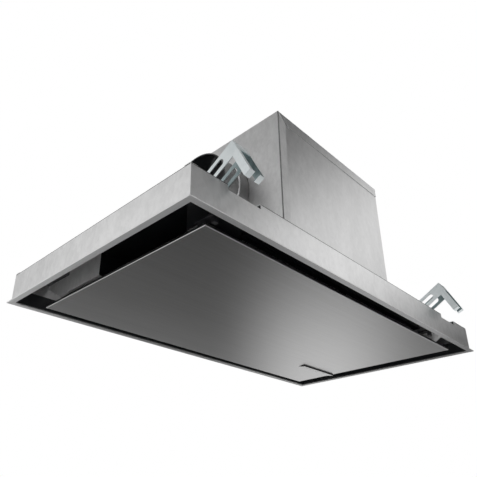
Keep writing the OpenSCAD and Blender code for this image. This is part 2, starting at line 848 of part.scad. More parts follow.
// Rivets through the walls' returns
module casing_rivets() {
    color("gray") {
        for (turn = [0, 180], s = rivet_share) rotate(turn)
            translate([s*casing_in_x, casing_in_y - rivet_edge, casing_h])
                cylinder(r1=rivet_r, r2=rivet_r/2, h=rivet_h, $fn=coarse);
        for (turn = [0, 180], s = rivet_end_share) rotate(turn)
            translate([casing_in_x - rivet_edge, s*casing_in_y, casing_h])
                cylinder(r1=rivet_r, r2=rivet_r/2, h=rivet_h, $fn=coarse);
    }
}

// Screws of the box's cover, on its right and back folds
module box_screws() {
    color("gray") {
        for (s = screw_share) translate([box_x1 + sheet_t, box_y + s*box_w, box_top - screw_inset])
            rotate([0, 90, 0]) cylinder(r=head_r, h=head_h, $fn=coarse);
        for (s = screw_share) translate([box_x + s*box_l, box_y1, box_top - screw_inset])
            rotate([-90, 0, 0]) cylinder(r=head_r, h=head_h, $fn=coarse);
    }
}

// Place and length of each key
function key_x(i) = bar_x0 + key_first + min(i, 1)*key_pitch + max(i - 1, 0)*key_spread;
function key_l_at(i) = i == 3 ? long_key_l : key_l;

// Hole of a key, centred on it, through a sheet of height h
module key_hole(i, h) {
    long = key_l_at(i) + 2*key_gap;
    wide = key_w + 2*key_gap;
    translate([-long/2, -wide/2, 0]) cube([long, wide, h]);
}

// Brushed suction panel with its folded edge
module suction_panel() {
    color("gray") difference() {
        translate([-panel_l/2, -panel_w/2, panel_z]) cube([panel_l, panel_w, panel_edge_h]);
        translate([panel_t - panel_l/2, panel_t - panel_w/2, panel_z + panel_t])
            cube([panel_l - 2*panel_t, panel_w - 2*panel_t, panel_edge_h]);
        for (i = [0:3]) translate([key_x(i), key_y, panel_z - cut])
            key_hole(i, panel_t + 2*cut);
    }
}

// Black pan that stiffens the panel from above
module panel_stiffener() {
    pan_l = panel_l - 2*pan_inset;
    pan_w = panel_w - 2*pan_inset;
    color("black") difference() {
        union() {
            translate([-pan_l/2, -pan_w/2, pan_top - pan_t]) cube([pan_l, pan_w, pan_t]);
            translate([0, 0, pan_z]) linear_extrude(pan_top - pan_z)
                frame_2d(pan_l, pan_w, pan_l - 2*pan_wall, pan_w - 2*pan_wall);
            for (i = [1:pan_rib_count]) translate([pan_l*(i/(pan_rib_count + 1) - 1/2), -pan_w/2, pan_z])
                cube([pan_rib_t, pan_w, pan_top - pan_z]);
        }
        translate([bar_x0 + fit_gap, key_y - board_w/2 - fit_gap, pan_z - cut])
            cube([board_l + 2*fit_gap, board_w + 2*fit_gap, pan_top - pan_t - pan_z + cut]);
    }
}

// Ears on the panel, two to a hinge
module hinge_arms() {
    gap = hinge_plate_t/2 + side_gap;
    color("dimgray") for (sx = [-1, 1], side = [-1, 1])
        translate([sx*hinge_x + side*(gap + arm_t/2), 0, 0]) difference() {
            across(0, arm_t) {
                translate([hinge_y - arm_y, pan_top]) square([2*arm_y, hinge_z - pan_top]);
                translate([hinge_y, hinge_z]) circle(r=arm_top, $fn=fine);
            }
            translate([-arm_t, hinge_y, hinge_z]) rotate([0, 90, 0])
                cylinder(r=hinge_pin_r + run_gap, h=2*arm_t, $fn=fine);
        }
}

// Plates under the tray that carry the panel's pivots
module hinge_brackets() {
    color("silver") for (sx = [-1, 1]) translate([sx*hinge_x, 0, 0]) difference() {
        union() {
            across(0, hinge_plate_t) {
                translate([hinge_y - hinge_plate_w/2, hinge_z]) square([hinge_plate_w, tray_z - hinge_z]);
                translate([hinge_y, hinge_z]) circle(d=hinge_plate_w, $fn=fine);
            }
            translate([-hinge_foot/2, hinge_y - hinge_plate_w/2, tray_z - hinge_foot_t])
                cube([hinge_foot, hinge_plate_w, hinge_foot_t]);
        }
        translate([-hinge_plate_t, hinge_y, hinge_z]) rotate([0, 90, 0])
            cylinder(r=hinge_pin_r + run_gap, h=2*hinge_plate_t, $fn=fine);
    }
}

// Headed pins of the hinges
module hinge_pins() {
    half = hinge_plate_t/2 + side_gap + arm_t + side_gap;
    color("silver") for (sx = [-1, 1]) translate([sx*hinge_x, hinge_y, hinge_z]) rotate([0, 90, 0]) {
        translate([0, 0, -half]) cylinder(r=hinge_pin_r, h=2*half, $fn=fine);
        for (z = [-half - pin_head_t, half]) translate([0, 0, z])
            cylinder(r=pin_head_r, h=pin_head_t, $fn=fine);
    }
}

// Black magnetic catches on the air guide frame, at the front
module panel_catches() {
    guide_in_y = casing_in_y - fit_gap - guide_t;
    arm_z = pan_top + strike_t + magnet_gap;
    reach = guide_in_y - panel_w/2 + pan_inset + strike_w;
    color("black") for (x = catch_x) translate([x, -guide_in_y, 0]) {
        translate([-catch_l/2, 0, catch_z0]) cube([catch_l, catch_t, catch_z1 - catch_z0]);
        translate([-catch_l/2, catch_t, arm_z]) cube([catch_l, reach - catch_t, catch_t]);
        translate([-lug_l/2, lug_out, -lug_drop]) cube([lug_l, lug_w, arm_z + lug_drop]);
    }
}

// Steel plates on the panel's front edge that the magnets hold
module panel_strikes() {
    color("silver") for (x = catch_x) translate([max(x, strike_l/2 - panel_l/2 + pan_inset), 0, pan_top])
        translate([-strike_l/2, pan_inset - panel_w/2, 0]) cube([strike_l, strike_w, strike_t]);
}

// Wedge-shaped control bar under the panel
module control_bar() {
    color("gray") difference() {
        translate([bar_x0, 0, 0]) rotate([90, 0, 90]) linear_extrude(bar_l) polygon([
            [bar_y, panel_z], [bar_y, panel_z - bar_h],
            [bar_y + bar_w, panel_z - bar_rest_h], [bar_y + bar_w, panel_z]
        ]);
        for (i = [0:3]) translate([key_x(i), key_y, panel_z - bar_h - cut])
            key_hole(i, bar_h + 2*cut);
    }
}

// Board behind the keys
module control_board() {
    color("green") translate([bar_x0 + 2*fit_gap, key_y - board_w/2, pan_top - pan_t - board_t])
        cube([board_l - 2*fit_gap, board_w, board_t]);
}

// Height of the bar's sloping face at a distance along Y
function bar_face(y) = panel_z - bar_h + (bar_h - bar_rest_h)*(y - bar_y)/bar_w;

// A key with a sloping face and a flange above the panel's sheet
module key(i) {
    y0 = key_y - key_w/2;
    y1 = key_y + key_w/2;
    top = panel_z + panel_t + key_flange;
    long = key_l_at(i);
    color("lightgray") {
        translate([key_x(i) - long/2, 0, 0]) rotate([90, 0, 90]) linear_extrude(long) polygon([
            [y0, bar_face(y0) - key_proud], [y1, bar_face(y1) - key_proud], [y1, top], [y0, top]
        ]);
        translate([key_x(i) - long/2 - key_stop, y0 - key_stop, panel_z + panel_t + side_gap])
            cube([long + 2*key_stop, key_w + 2*key_stop, key_flange - side_gap]);
    }
}

module key_1() { key(0); }
module key_2() { key(1); }
module key_3() { key(2); }
module key_4() { key(3); }

// Bent towers on the top plate, each holding the top of a clamp screw
module clamp_towers() {
    y0 = tower_y1 - tower_t;
    color("silver") for (front = [false, true], side = [0, 1]) at_clamp(front, side) difference() {
        across(0, tower_w) polygon([
            [y0 - tower_foot, tower_floor], [tower_y1, tower_floor], [tower_y1, tower_top - tower_t],
            [y0 + tower_reach, tower_top - tower_t], [y0 + tower_reach, tower_top], [y0, tower_top],
            [y0, tower_floor + tower_t], [y0 - tower_foot, tower_floor + tower_t]
        ]);
        translate([0, pivot[0], tower_top - tower_t - cut])
            cylinder(r=screw_r + run_gap, h=tower_t + 2*cut, $fn=fine);
    }
}

// Clamp screws, turned from below
module clamp_screws() {
    color("silver") for (front = [false, true], side = [0, 1]) at_clamp(front, side)
        translate([0, pivot[0], pocket_floor - pocket_t]) {
            cylinder(r=screw_r, h=screw_top - pocket_floor + pocket_t, $fn=fine);
            translate([0, 0, -screw_head_h]) cylinder(r=screw_head_r, h=screw_head_h, $fn=6);
        }
}

// Threaded block that rides on a clamp screw and carries the clamp's pivot studs
module carrier() {
    color("silver") difference() {
        union() {
            translate([-carrier_w/2, pivot[0] - carrier_back, pivot[1] - carrier_down])
                cube([carrier_w, carrier_back + carrier_front, carrier_down + carrier_up]);
            translate([-clamp_w/2 - stud_end, pivot[0], pivot[1]]) rotate([0, 90, 0])
                cylinder(r=stud_r, h=clamp_w + 2*stud_end, $fn=fine);
        }
        translate([0, pivot[0], pivot[1] - carrier_down - cut])
            cylinder(r=screw_r + run_gap, h=carrier_down + carrier_up + 2*cut, $fn=fine);
    }
}

// Outline of a clamp's cheek
module cheek_2d() {
    tip = apex + arm_l*arm_dir;
    difference() {
        union() {
            polygon([
                apex, tip, tip + arm_w*arm_side, elbow,
                pivot + leg_w/2*leg_side, pivot - leg_w/2*leg_side
            ]);
            translate(pivot) circle(d=leg_w, $fn=fine);
        }
        translate(leg_w/2*leg_side)
            slot_2d(apex + slot_from*leg_dir, apex + slot_to*leg_dir, slot_w);
        translate(pivot) circle(r=stud_r + run_gap, $fn=fine);
    }
}

// Swinging clamp: two cheeks, a strap over the apex, a narrow web and two bent feet
module clamp() {
    tip = apex + arm_l*arm_dir;
    color("azure") {
        for (side = [-1, 1]) across(side*(cheek_in + clamp_t/2), clamp_t) cheek_2d();
        across(0, 2*cheek_in) {
            polygon([
                apex, apex + strap_l*arm_dir, apex + strap_l*arm_dir + clamp_t*arm_side,
                apex + clamp_t*(leg_side + arm_side), apex + strap_l*leg_dir + clamp_t*leg_side,
                apex + strap_l*leg_dir
            ]);
        }
        across(cheek_in - web_w/2, web_w) polygon([
            apex + strap_l*arm_dir, tip, tip + clamp_t*arm_side, apex + strap_l*arm_dir + clamp_t*arm_side
        ]);
        for (side = [-1, 1]) across(side*(cheek_in - foot_l/2), foot_l) polygon([
            tip, tip - clamp_t*arm_dir, tip + arm_w*arm_side - clamp_t*arm_dir, tip + arm_w*arm_side
        ]);
    }
}

module carrier_front_left() { at_clamp(true, 0) carrier(); }
module carrier_front_right() { at_clamp(true, 1) carrier(); }
module carrier_back_left() { at_clamp(false, 1) carrier(); }
module carrier_back_right() { at_clamp(false, 0) carrier(); }
module clamp_front_left() { at_clamp(true, 0) clamp(); }
module clamp_front_right() { at_clamp(true, 1) clamp(); }
module clamp_back_left() { at_clamp(false, 1) clamp(); }
module clamp_back_right() { at_clamp(false, 0) clamp(); }

rim_frame();
wall_left();
wall_right();
wall_front();
wall_back();
top_plate();
air_tray();
air_guide_frame();
filter_frame();
grease_filter_left();
grease_filter_right();
filter_handles();
control_box();
box_left();
box_right();
box_front();
box_back();
box_cover();
duct_collar();
flap_pin();
flap_near();
flap_far();
scroll_lower();
scroll_upper();
inlet_ring();
impeller();
motor_shaft();
motor();
motor_bracket();
motor_bushes();
capacitor();
terminal_box();
terminal_lid();
cable_gland();
casing_rivets();
box_screws();
suction_panel();
panel_stiffener();
hinge_arms();
hinge_brackets();
hinge_pins();
panel_catches();
panel_strikes();
control_bar();
control_board();
key_1();
key_2();
key_3();
key_4();
clamp_towers();
clamp_screws();
carrier_front_left();
carrier_front_right();
carrier_back_left();
carrier_back_right();
clamp_front_left();
clamp_front_right();
clamp_back_left();
clamp_back_right();
clamp_pockets();
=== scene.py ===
# %% [markdown]
# A ceiling range hood, seen from below. A shallow galvanised casing sits in a cut-out of the ceiling, a
# thin stainless flange covers the cut's edge, and a brushed panel hangs in the opening with a dark gap all
# round. A motor box stands on the casing, with a round duct collar on its side, and four bent clamps grip
# the ceiling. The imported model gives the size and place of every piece, and this script gives each of them
# its looks.

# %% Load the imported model
import json
import math

import bmesh
import bpy
from mathutils import Matrix, Vector


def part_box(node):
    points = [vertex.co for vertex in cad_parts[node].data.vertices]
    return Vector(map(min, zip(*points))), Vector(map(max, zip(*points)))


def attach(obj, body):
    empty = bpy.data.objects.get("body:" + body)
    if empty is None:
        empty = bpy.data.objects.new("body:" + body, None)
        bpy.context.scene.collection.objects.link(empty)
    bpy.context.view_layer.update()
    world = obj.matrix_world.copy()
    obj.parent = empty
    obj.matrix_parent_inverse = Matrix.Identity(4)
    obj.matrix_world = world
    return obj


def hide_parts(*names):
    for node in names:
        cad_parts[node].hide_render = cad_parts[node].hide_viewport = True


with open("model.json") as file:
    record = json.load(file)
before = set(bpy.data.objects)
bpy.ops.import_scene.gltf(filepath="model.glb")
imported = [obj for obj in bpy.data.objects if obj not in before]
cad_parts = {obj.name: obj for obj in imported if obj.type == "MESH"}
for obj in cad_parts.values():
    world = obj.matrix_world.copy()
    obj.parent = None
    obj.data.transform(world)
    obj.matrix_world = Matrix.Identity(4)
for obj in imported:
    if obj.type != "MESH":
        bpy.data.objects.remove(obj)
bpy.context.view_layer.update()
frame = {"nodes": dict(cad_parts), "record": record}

MM = 0.001
nodes = frame["nodes"]
record = frame["record"]
body_of = {node: body for body, group in record["behaviour"]["bodies"].items() for node in group}

# %% [markdown]
# The camera stands to the left of the hood, in front of it and below it, and looks up. Its place, its turn
# and its lens come from a fit to the straight edges in the picture. A large upward shift of the lens,
# instead of a tilt, would keep all upright edges parallel, but a camera on another side would then lose the
# hood. So the shift is small and takes the place of only some of the tilt.

# %% Camera
IMAGE_SIDE = 477
FOCAL_PIXELS = 521.66
eye = Vector((-804.1, -656.1, -366.7))*MM
eye_yaw = math.radians(44.109)
eye_pitch = math.radians(24.769)
looks_along = Vector((
    math.cos(eye_pitch)*math.cos(eye_yaw),
    math.cos(eye_pitch)*math.sin(eye_yaw),
    math.sin(eye_pitch),
))
lens = bpy.data.cameras.new("camera")
lens.sensor_width = 36
lens.lens = FOCAL_PIXELS/IMAGE_SIDE*lens.sensor_width
lens.shift_x = 0.0248
lens.shift_y = 0.09
camera = bpy.data.objects.new("camera", lens)
camera.location = eye
camera.rotation_euler = looks_along.to_track_quat("-Z", "Y").to_euler()
bpy.context.collection.objects.link(camera)
bpy.context.scene.camera = camera
print("lens", round(lens.lens, 2), "mm, from", [round(v, 3) for v in eye])

# %% [markdown]
# A finish is a network of nodes. It could be linked by hand, one line for each wire, but shader maths reads
# best as plain expressions. Value wraps one socket and gives it Python's operators, so that 1 - mask adds
# the Math node by itself. Paint holds one material. Its node method makes every other node: the settings
# are set first, because some of them change which sockets a node has.

# %% Shader maths
class Value:
    """A socket whose number changes over the surface."""

    def __init__(self, tree, socket):
        self.tree = tree
        self.socket = socket

    def math(self, operation, other=None):
        sockets = {0: self} if other is None else {0: self, 1: other}
        return self.tree.node("ShaderNodeMath", {"operation": operation}, sockets)

    def __add__(self, other):
        return self.math("ADD", other)

    def __sub__(self, other):
        return self.math("SUBTRACT", other)

    def __mul__(self, other):
        return self.math("MULTIPLY", other)

    def __rsub__(self, other):
        return self.tree.node("ShaderNodeMath", {"operation": "SUBTRACT"}, {0: other, 1: self})

    __radd__ = __add__
    __rmul__ = __mul__

    def __abs__(self):
        return self.math("ABSOLUTE")

    def or_else(self, other):
        """The larger of two numbers."""
        return self.math("MAXIMUM", other)

    def rise(self, low, high):
        """0 below low, 1 above high and smooth between them."""
        return self.tree.node(
            "ShaderNodeMapRange", {"interpolation_type": "SMOOTHSTEP"},
            {"Value": self, "From Min": low, "From Max": high})


class Tree:
    """The node tree of a material or of the world."""

    def __init__(self, owner):
        owner.use_nodes = True
        self.tree = owner.node_tree

    def node(self, kind, settings, sockets, output=0):
        made = self.tree.nodes.new(kind)
        for key, value in settings.items():
            setattr(made, key, value)
        for key, value in sockets.items():
            if isinstance(value, Value):
                self.tree.links.new(value.socket, made.inputs[key])
            else:
                made.inputs[key].default_value = value
        return Value(self, made.outputs[output])

    def feed_node(self, name, socket, value):
        """Links a value to a node that was there from the start."""
        self.tree.links.new(value.socket, self.tree.nodes[name].inputs[socket])


class Paint(Tree):
    """One material: a Principled shader and what varies over the surface."""

    def __init__(self, name, metallic=0.0, roughness=0.5, **constants):
        self.material = bpy.data.materials.new(name)
        super().__init__(self.material)
        self.shader = self.tree.nodes["Principled BSDF"]
        self.shader.inputs["Metallic"].default_value = metallic
        self.shader.inputs["Roughness"].default_value = roughness
        for socket, value in constants.items():
            self.shader.inputs[socket.replace("_", " ")].default_value = value
        self.where = self.node("ShaderNodeTexCoord", {}, {}, "Object")
        self.bumps = None

    def stretched(self, scale):
        """Object coordinates, with each axis multiplied."""
        return self.node("ShaderNodeMapping", {}, {"Vector": self.where, "Scale": scale})

    def noise(self, size, detail=2.0, roughness=0.5, scale=(1, 1, 1), distortion=0.0):
        """Cloudy noise whose lumps are about size metres across, from 0 to 1."""
        return self.node(
            "ShaderNodeTexNoise", {},
            {"Vector": self.stretched(scale), "Scale": 1/size, "Detail": detail, "Roughness": roughness,
             "Distortion": distortion})

    def cells(self, size, scale=(1, 1, 1), output="Color"):
        """A random grey for each crystal of about size metres, or how far its middle is."""
        found = self.node(
            "ShaderNodeTexVoronoi", {}, {"Vector": self.stretched(scale), "Scale": 1/size}, output)
        return self.node("ShaderNodeSeparateColor", {}, {0: found}) if output == "Color" else found

    def axis(self, letter):
        """One object coordinate, in metres."""
        return self.node("ShaderNodeSeparateXYZ", {}, {0: self.where}, letter)

    def colour(self, factor, low, high):
        """A blend of two colours by a varying factor."""
        return self.node(
            "ShaderNodeMix", {"data_type": "RGBA"},
            {"Factor": factor, 6: (*low, 1), 7: (*high, 1)}, 2)

    def feed(self, socket, value):
        self.tree.links.new(value.socket, self.shader.inputs[socket])

    def bump(self, height, depth, strength=1.0):
        """Adds a height pattern of that depth in metres to the surface."""
        sockets = {"Height": height, "Distance": depth, "Strength": strength}
        if self.bumps is not None:
            sockets["Normal"] = self.bumps
        self.bumps = self.node("ShaderNodeBump", {}, sockets)
        self.feed("Normal", self.bumps)


def grey(level, warmth=0.0):
    return (level*(1 + warmth), level, level*(1 - warmth))


print("shader helpers ready")

# %% [markdown]
# Galvanised sheet is steel with a skin of zinc. The zinc sets in crystals, the spangle, and the mill's rolls
# press them nearly flat, so they show as soft patches that reflect a little more or less. A picture of real
# sheet could be wrapped round each piece, but it would show its seams and repeats. Noise has neither: Voronoi
# cells give the crystals, and two sizes of slightly stretched noise give the soft mottling of the rolling.
# All of it stays faint, because real sheet is even. The folds get the same finish, only darker, which is
# painted shade along the bends, and the collar gets it darker too.

# %% Galvanised sheet
CRYSTAL = 5*MM
PATCH = 26*MM
STREAK = 9*MM


def galvanised(name, level, spangle, along, roughness, metallic=1.0):
    """Zinc whose grey varies by the spangle's share round a level."""
    paint = Paint(name, metallic=metallic, roughness=roughness)
    crystals = paint.cells(CRYSTAL, scale=along)
    patches = paint.noise(PATCH, 2, 0.5, scale=along)
    streaks = paint.noise(STREAK, 3, 0.5, scale=(1, 1, 0.7), distortion=0.5)
    tone = crystals*0.14 + patches*0.6 + streaks*0.7 - 0.22
    dark = [c*(1 - spangle) for c in grey(level)]
    light = [min(1, c*(1 + spangle)) for c in grey(level)]
    paint.feed("Base Color", paint.colour(tone.rise(0.0, 1.0), dark, light))
    paint.feed("Roughness", roughness - 0.05 + crystals*0.02 + streaks*0.08)
    paint.bump(patches, 0.05*MM, 0.3)
    paint.bump(streaks, 0.01*MM, 0.3)
    return paint.material


zinc_sheet = galvanised("galvanised sheet", 0.77, 0.10, (1, 1, 0.45), 0.36)
zinc_walls = galvanised("galvanised walls", 0.80, 0.12, (0.8, 0.8, 0.5), 0.32)
zinc_inner = galvanised("galvanised inner sheet", 0.8, 0.12, (1, 1, 0.3), 0.5, 0.5)
zinc_side = galvanised("galvanised side", 0.75, 0.12, (1, 1, 0.6), 0.48)
# The next two are dark copies of the zinc: painted shade for the folds and the rounds.
zinc_fold_painted_shade = galvanised("galvanised folds painted shade", 0.26, 0.2, (1, 1, 1), 0.45)
zinc_edge_painted_shade = galvanised("galvanised edges painted shade", 0.10, 0.2, (1, 1, 1), 0.5)
print("galvanised finishes: 6")

# %% [markdown]
# Stainless steel is brushed with a belt that runs one way. The belt leaves fine scratches along its way,
# which show as thin lines and smear reflections across them. The shader's own anisotropy could smear them,
# but it draws no lines, and it is lost when a finish is baked into pictures. So noise that is squeezed hard
# across the brush and pulled long along it makes the lines, in colour, in roughness and in a very shallow
# bump. The flange is brushed along each of its bars, and its colour is painted darker towards the right, as
# in the picture: this is painted shade.

# %% Brushed stainless steel
def brushed(name, level, along, roughness, lines=0.07):
    """Stainless steel brushed along X, or along each bar of the mitred flange with painted shade towards the
    right.
    """
    paint = Paint(name, metallic=1.0, roughness=roughness)

    def scratches(fine_scale, coarse_scale):
        fine = paint.noise(1*MM, 2, 0.6, scale=fine_scale)
        coarse = paint.noise(7*MM, 2, 0.5, scale=coarse_scale)
        return fine*0.65 + coarse*0.35

    brush = scratches((0.012, 1, 1), (0.01, 1, 1))
    if along == "bars":
        on_y = scratches((1, 0.012, 1), (1, 0.01, 1))
        flange_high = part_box("rim_frame")[1]
        past_x = abs(paint.axis("X")) - flange_high.x
        past_y = abs(paint.axis("Y")) - flange_high.y
        side = (past_y - past_x).rise(-0.1*MM, 0.1*MM)
        brush = brush*side + on_y*(1 - side)
    tone = brush.rise(0.25, 0.75)
    if along == "bars":
        # On the flange the colour is painted darker towards the right: painted shade.
        tone = tone*0.25 + (1 - paint.axis("X").rise(0.2, 0.45))*0.75
    dark = [c*(1 - lines) for c in grey(level, 0.004)]
    light = [c*(1 + lines) for c in grey(level, 0.0)]
    paint.feed("Base Color", paint.colour(tone, dark, light))
    paint.feed("Roughness", roughness - 0.05 + brush*0.1)
    paint.bump(brush, 0.012*MM, 0.4)
    return paint.material


steel_panel = brushed("brushed steel panel", 0.52, "X", 0.30)
steel_flange_painted_shade = brushed("brushed steel flange painted shade", 0.68, "bars", 0.48, lines=0.32)
steel_bar = brushed("brushed steel bar", 0.53, "X", 0.32)
print("brushed finishes: 3")

# %% [markdown]
# The clamps and their screws are zinc plated, which gives a bright metal with a cold blue tint that drifts
# from place to place. The other small fittings are bright steel. The black parts are either painted sheet,
# which has a faint orange peel, or moulded plastic, which has a fine grain and a duller shine. One colour
# for each would do from afar, but no real surface is quite even, so every finish has a slow drift and a
# fine texture.

# %% Plated, painted and moulded finishes
def plated(name, low, high, roughness):
    """Bright metal that drifts between two colours."""
    paint = Paint(name, metallic=0.95, roughness=roughness)
    drift = paint.noise(18*MM, 3, 0.55)
    rub = paint.noise(2.5*MM, 2, 0.5, scale=(1, 1, 0.25))
    paint.feed("Base Color", paint.colour((drift*0.7 + rub*0.3).rise(0.3, 0.7), low, high))
    paint.feed("Roughness", roughness - 0.06 + drift*0.08 + rub*0.05)
    paint.bump(rub, 0.02*MM, 0.4)
    return paint.material


def painted(name, level, roughness, tint=0.0, coat=0.0):
    """Painted sheet; a tint below 0 is cool, and a coat adds gloss."""
    paint = Paint(name, roughness=roughness, Coat_Weight=coat, Coat_Roughness=0.12)
    wear = paint.noise(60*MM, 3, 0.6)
    peels = paint.noise(1.6*MM, 2, 0.5)
    dark, light = grey(level*0.8, tint), grey(level*1.3, tint)
    paint.feed("Base Color", paint.colour(wear.rise(0.3, 0.75), dark, light))
    paint.feed("Roughness", roughness - 0.06 + wear*0.12)
    paint.bump(peels, 0.03*MM, 0.5)
    return paint.material


def moulded(name, low, high, roughness, grain=0.9*MM):
    """Plastic or rubber with a fine grain."""
    paint = Paint(name, roughness=roughness)
    cloud = paint.noise(40*MM, 2, 0.5)
    grains = paint.noise(grain, 2, 0.6)
    paint.feed("Base Color", paint.colour(cloud.rise(0.3, 0.7), low, high))
    paint.feed("Roughness", roughness - 0.08 + grains*0.16)
    paint.bump(grains, 0.03*MM, 0.35)
    return paint.material


zinc_clamp = plated("blue zinc plate", (0.80, 0.86, 0.87), (0.90, 0.95, 0.96), 0.30)
# A darker copy of the plate: painted shade for the clamps' inner faces.
zinc_inside_painted_shade = plated("blue zinc plate inside painted shade", (0.26, 0.33, 0.34), (0.42, 0.50, 0.51), 0.38)
bright_steel = plated("bright steel", (0.52, 0.52, 0.53), (0.68, 0.68, 0.69), 0.26)
black_paint = painted("black paint", 0.013, 0.32, tint=-0.12, coat=0.4)
black_mould = moulded("black moulding", (0.010, 0.010, 0.012), (0.022, 0.022, 0.025), 0.5)
zinc_collar = galvanised("galvanised collar", 0.29, 0.12, (1, 1, 1), 0.36)
rubber = moulded("rubber", (0.012, 0.012, 0.012), (0.025, 0.025, 0.025), 0.7, 1.5*MM)
white_mould = moulded("white moulding", (0.72, 0.72, 0.70), (0.82, 0.82, 0.80), 0.4)
motor_paint = painted("motor paint", 0.05, 0.45)
board_lacquer = painted("board lacquer", 0.06, 0.3, tint=-0.5)
key_metal = plated("key metal", (0.42, 0.42, 0.43), (0.58, 0.58, 0.59), 0.3)
print("small part finishes: 11")

# %% [markdown]
# The grease filters hold layers of expanded aluminium. All of them could be modelled, at a great cost in
# triangles that nobody would see. So one layer is made of real strands, further down, and this finish stands
# for the layers behind it: cells whose pits are painted dark, as painted shade, between bright ridges.

# %% Filter layers
def mesh_layers(name):
    """Pits painted dark as painted shade, between bright ridges."""
    paint = Paint(name, metallic=0.85, roughness=0.45)
    pits = paint.cells(4*MM, scale=(1, 0.6, 1), output="Distance")
    # The pits' darkness is painted shade; the same pattern also drives the bump.
    depth = pits.rise(0.1, 0.55)
    paint.feed("Base Color", paint.colour(depth, (0.05, 0.05, 0.052), (0.5, 0.5, 0.51)))
    paint.bump(depth, 0.6*MM, 0.8)
    return paint.material


filter_layers = mesh_layers("filter layers")
filter_strands = plated("filter strands", (0.55, 0.55, 0.56), (0.75, 0.75, 0.76), 0.32)
filter_border = plated("filter border", (0.5, 0.5, 0.51), (0.68, 0.68, 0.69), 0.34)
print("filter finishes: 3")

# %% [markdown]
# Every new piece goes through one function. It marks the edges that are really sharp, shades the rest smooth,
# lets a weighted normal keep the large faces flat, and ties the piece to the imported model: the body that it
# moves with and, where it stands for a node, that node's hiding.
# These lines could be written out for each piece, but with some ninety pieces one of them would soon be
# missed.

# %% Making a piece
def mesh_from(bm, name):
    """Turns a finished bmesh into a mesh and frees it."""
    mesh = bpy.data.meshes.new(name)
    bm.to_mesh(mesh)
    bm.free()
    return mesh


def make_piece(name, bm, material, node, replaces=True, smooth_below=32):
    """A finished piece; edges that bend less than smooth_below degrees are shaded smooth."""
    limit = math.radians(smooth_below)
    for face in bm.faces:
        face.smooth = True
    for edge in bm.edges:
        edge.smooth = len(edge.link_faces) == 2 and edge.calc_face_angle(0) < limit
    mesh = mesh_from(bm, name)
    mesh.materials.append(material)
    piece = bpy.data.objects.new(name, mesh)
    bpy.context.collection.objects.link(piece)
    weighted = piece.modifiers.new("even faces", "WEIGHTED_NORMAL")
    weighted.keep_sharp = True
    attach(piece, body_of[node])
    if replaces:
        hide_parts(node)
    return piece


def round_edges(bm, edges, width, segments=2):
    bmesh.ops.bevel(
        bm, geom=list(edges), offset=width, offset_type="OFFSET", segments=segments, profile=0.5,
        affect="EDGES", clamp_overlap=True, material=-1)


def sharp_edges(bm, above=28):
    """The edges where faces meet at more than that many degrees."""
    limit = math.radians(above)
    return [e for e in bm.edges if len(e.link_faces) == 2 and e.calc_face_angle(0) > limit]


MERGE_GAP = 0.002*MM


def close_up(bm):
    """Merges doubled vertices, and only then turns the normals outwards."""
    bmesh.ops.remove_doubles(bm, verts=bm.verts, dist=MERGE_GAP)
    bmesh.ops.recalc_face_normals(bm, faces=bm.faces)


print("helpers ready")

# %% [markdown]
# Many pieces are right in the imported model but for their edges, which are perfectly sharp there. Real
# sheet, bar and mouldings have small radii that catch the light, and without them metal looks like paper. A
# Bevel modifier could round all edges alike, but folds need a wider round than cut edges. So dressed()
# copies a node's mesh, merges its loose triangles into whole faces, and rounds first the edges that a test
# picks as folds, and then the rest.

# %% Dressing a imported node
def node_mesh(node):
    """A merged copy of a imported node's mesh."""
    bm = bmesh.new()
    bm.from_mesh(nodes[node].data)
    bm.transform(nodes[node].matrix_world)
    bmesh.ops.remove_doubles(bm, verts=bm.verts, dist=MERGE_GAP)
    bmesh.ops.dissolve_limit(bm, angle_limit=math.radians(0.5), verts=bm.verts, edges=bm.edges)
    return bm


def dressed(node, material, width, folds=None, fold_width=None):
    """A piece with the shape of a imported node, but with rounded edges."""
    bm = node_mesh(node)
    if folds:
        round_edges(bm, [e for e in sharp_edges(bm) if folds(e)], fold_width, 4)
    round_edges(bm, sharp_edges(bm), width)
    return make_piece(node + "_dressed", bm, material, node)


def paint_faces(piece, finish, chosen):
    """Gives a second finish to the faces for which chosen(face) is true."""
    piece.data.materials.append(finish)
    slot = len(piece.data.materials) - 1
    for face in piece.data.polygons:
        if chosen(face):
            face.material_index = slot


def near(a, b, within=0.05*MM):
    return abs(a - b) < within


def islands(node):
    """The lowest and highest corners of each separate solid of a node."""
    bm = node_mesh(node)
    found = []
    left = set(bm.verts)
    while left:
        stack = [left.pop()]
        group = []
        while stack:
            vert = stack.pop()
            group.append(vert.co.copy())
            for edge in vert.link_edges:
                other = edge.other_vert(vert)
                if other in left:
                    left.remove(other)
                    stack.append(other)
        found.append((Vector(map(min, *group)), Vector(map(max, *group))))
    bm.free()
    return sorted(found, key=lambda pair: tuple(round(v, 4) for v in pair[0]))


print("clamp screws found:", len(islands("clamp_screws")))

# %% [markdown]
# The flange is the thin stainless border that hides the edge of the cut-out. It could be four bars laid end
# to end, but their corners would have to be cut and joined. A single quad, inset once, gives all four bars
# with mitred corners. It is thickened and its edges are eased, as on a part that hands touch.

# %% Ceiling flange
def flat_rectangle(low, high, z):
    """One level face between two corners."""
    bm = bmesh.new()
    bmesh.ops.create_grid(bm, x_segments=1, y_segments=1, size=0.5)
    span = Vector((high[0] - low[0], high[1] - low[1], 1))
    bmesh.ops.scale(bm, vec=span, verts=bm.verts)
    bmesh.ops.translate(bm, vec=((low[0] + high[0])/2, (low[1] + high[1])/2, z), verts=bm.verts)
    return bm


def grow_up(bm, height):
    """Turns flat faces into a closed solid of that height."""
    flat = list(bm.faces)
    grown = bmesh.ops.extrude_face_region(bm, geom=flat, use_keep_orig=True)
    tops = [v for v in grown["geom"] if isinstance(v, bmesh.types.BMVert)]
    bmesh.ops.translate(bm, vec=(0, 0, height), verts=tops)
    bmesh.ops.recalc_face_normals(bm, faces=bm.faces)


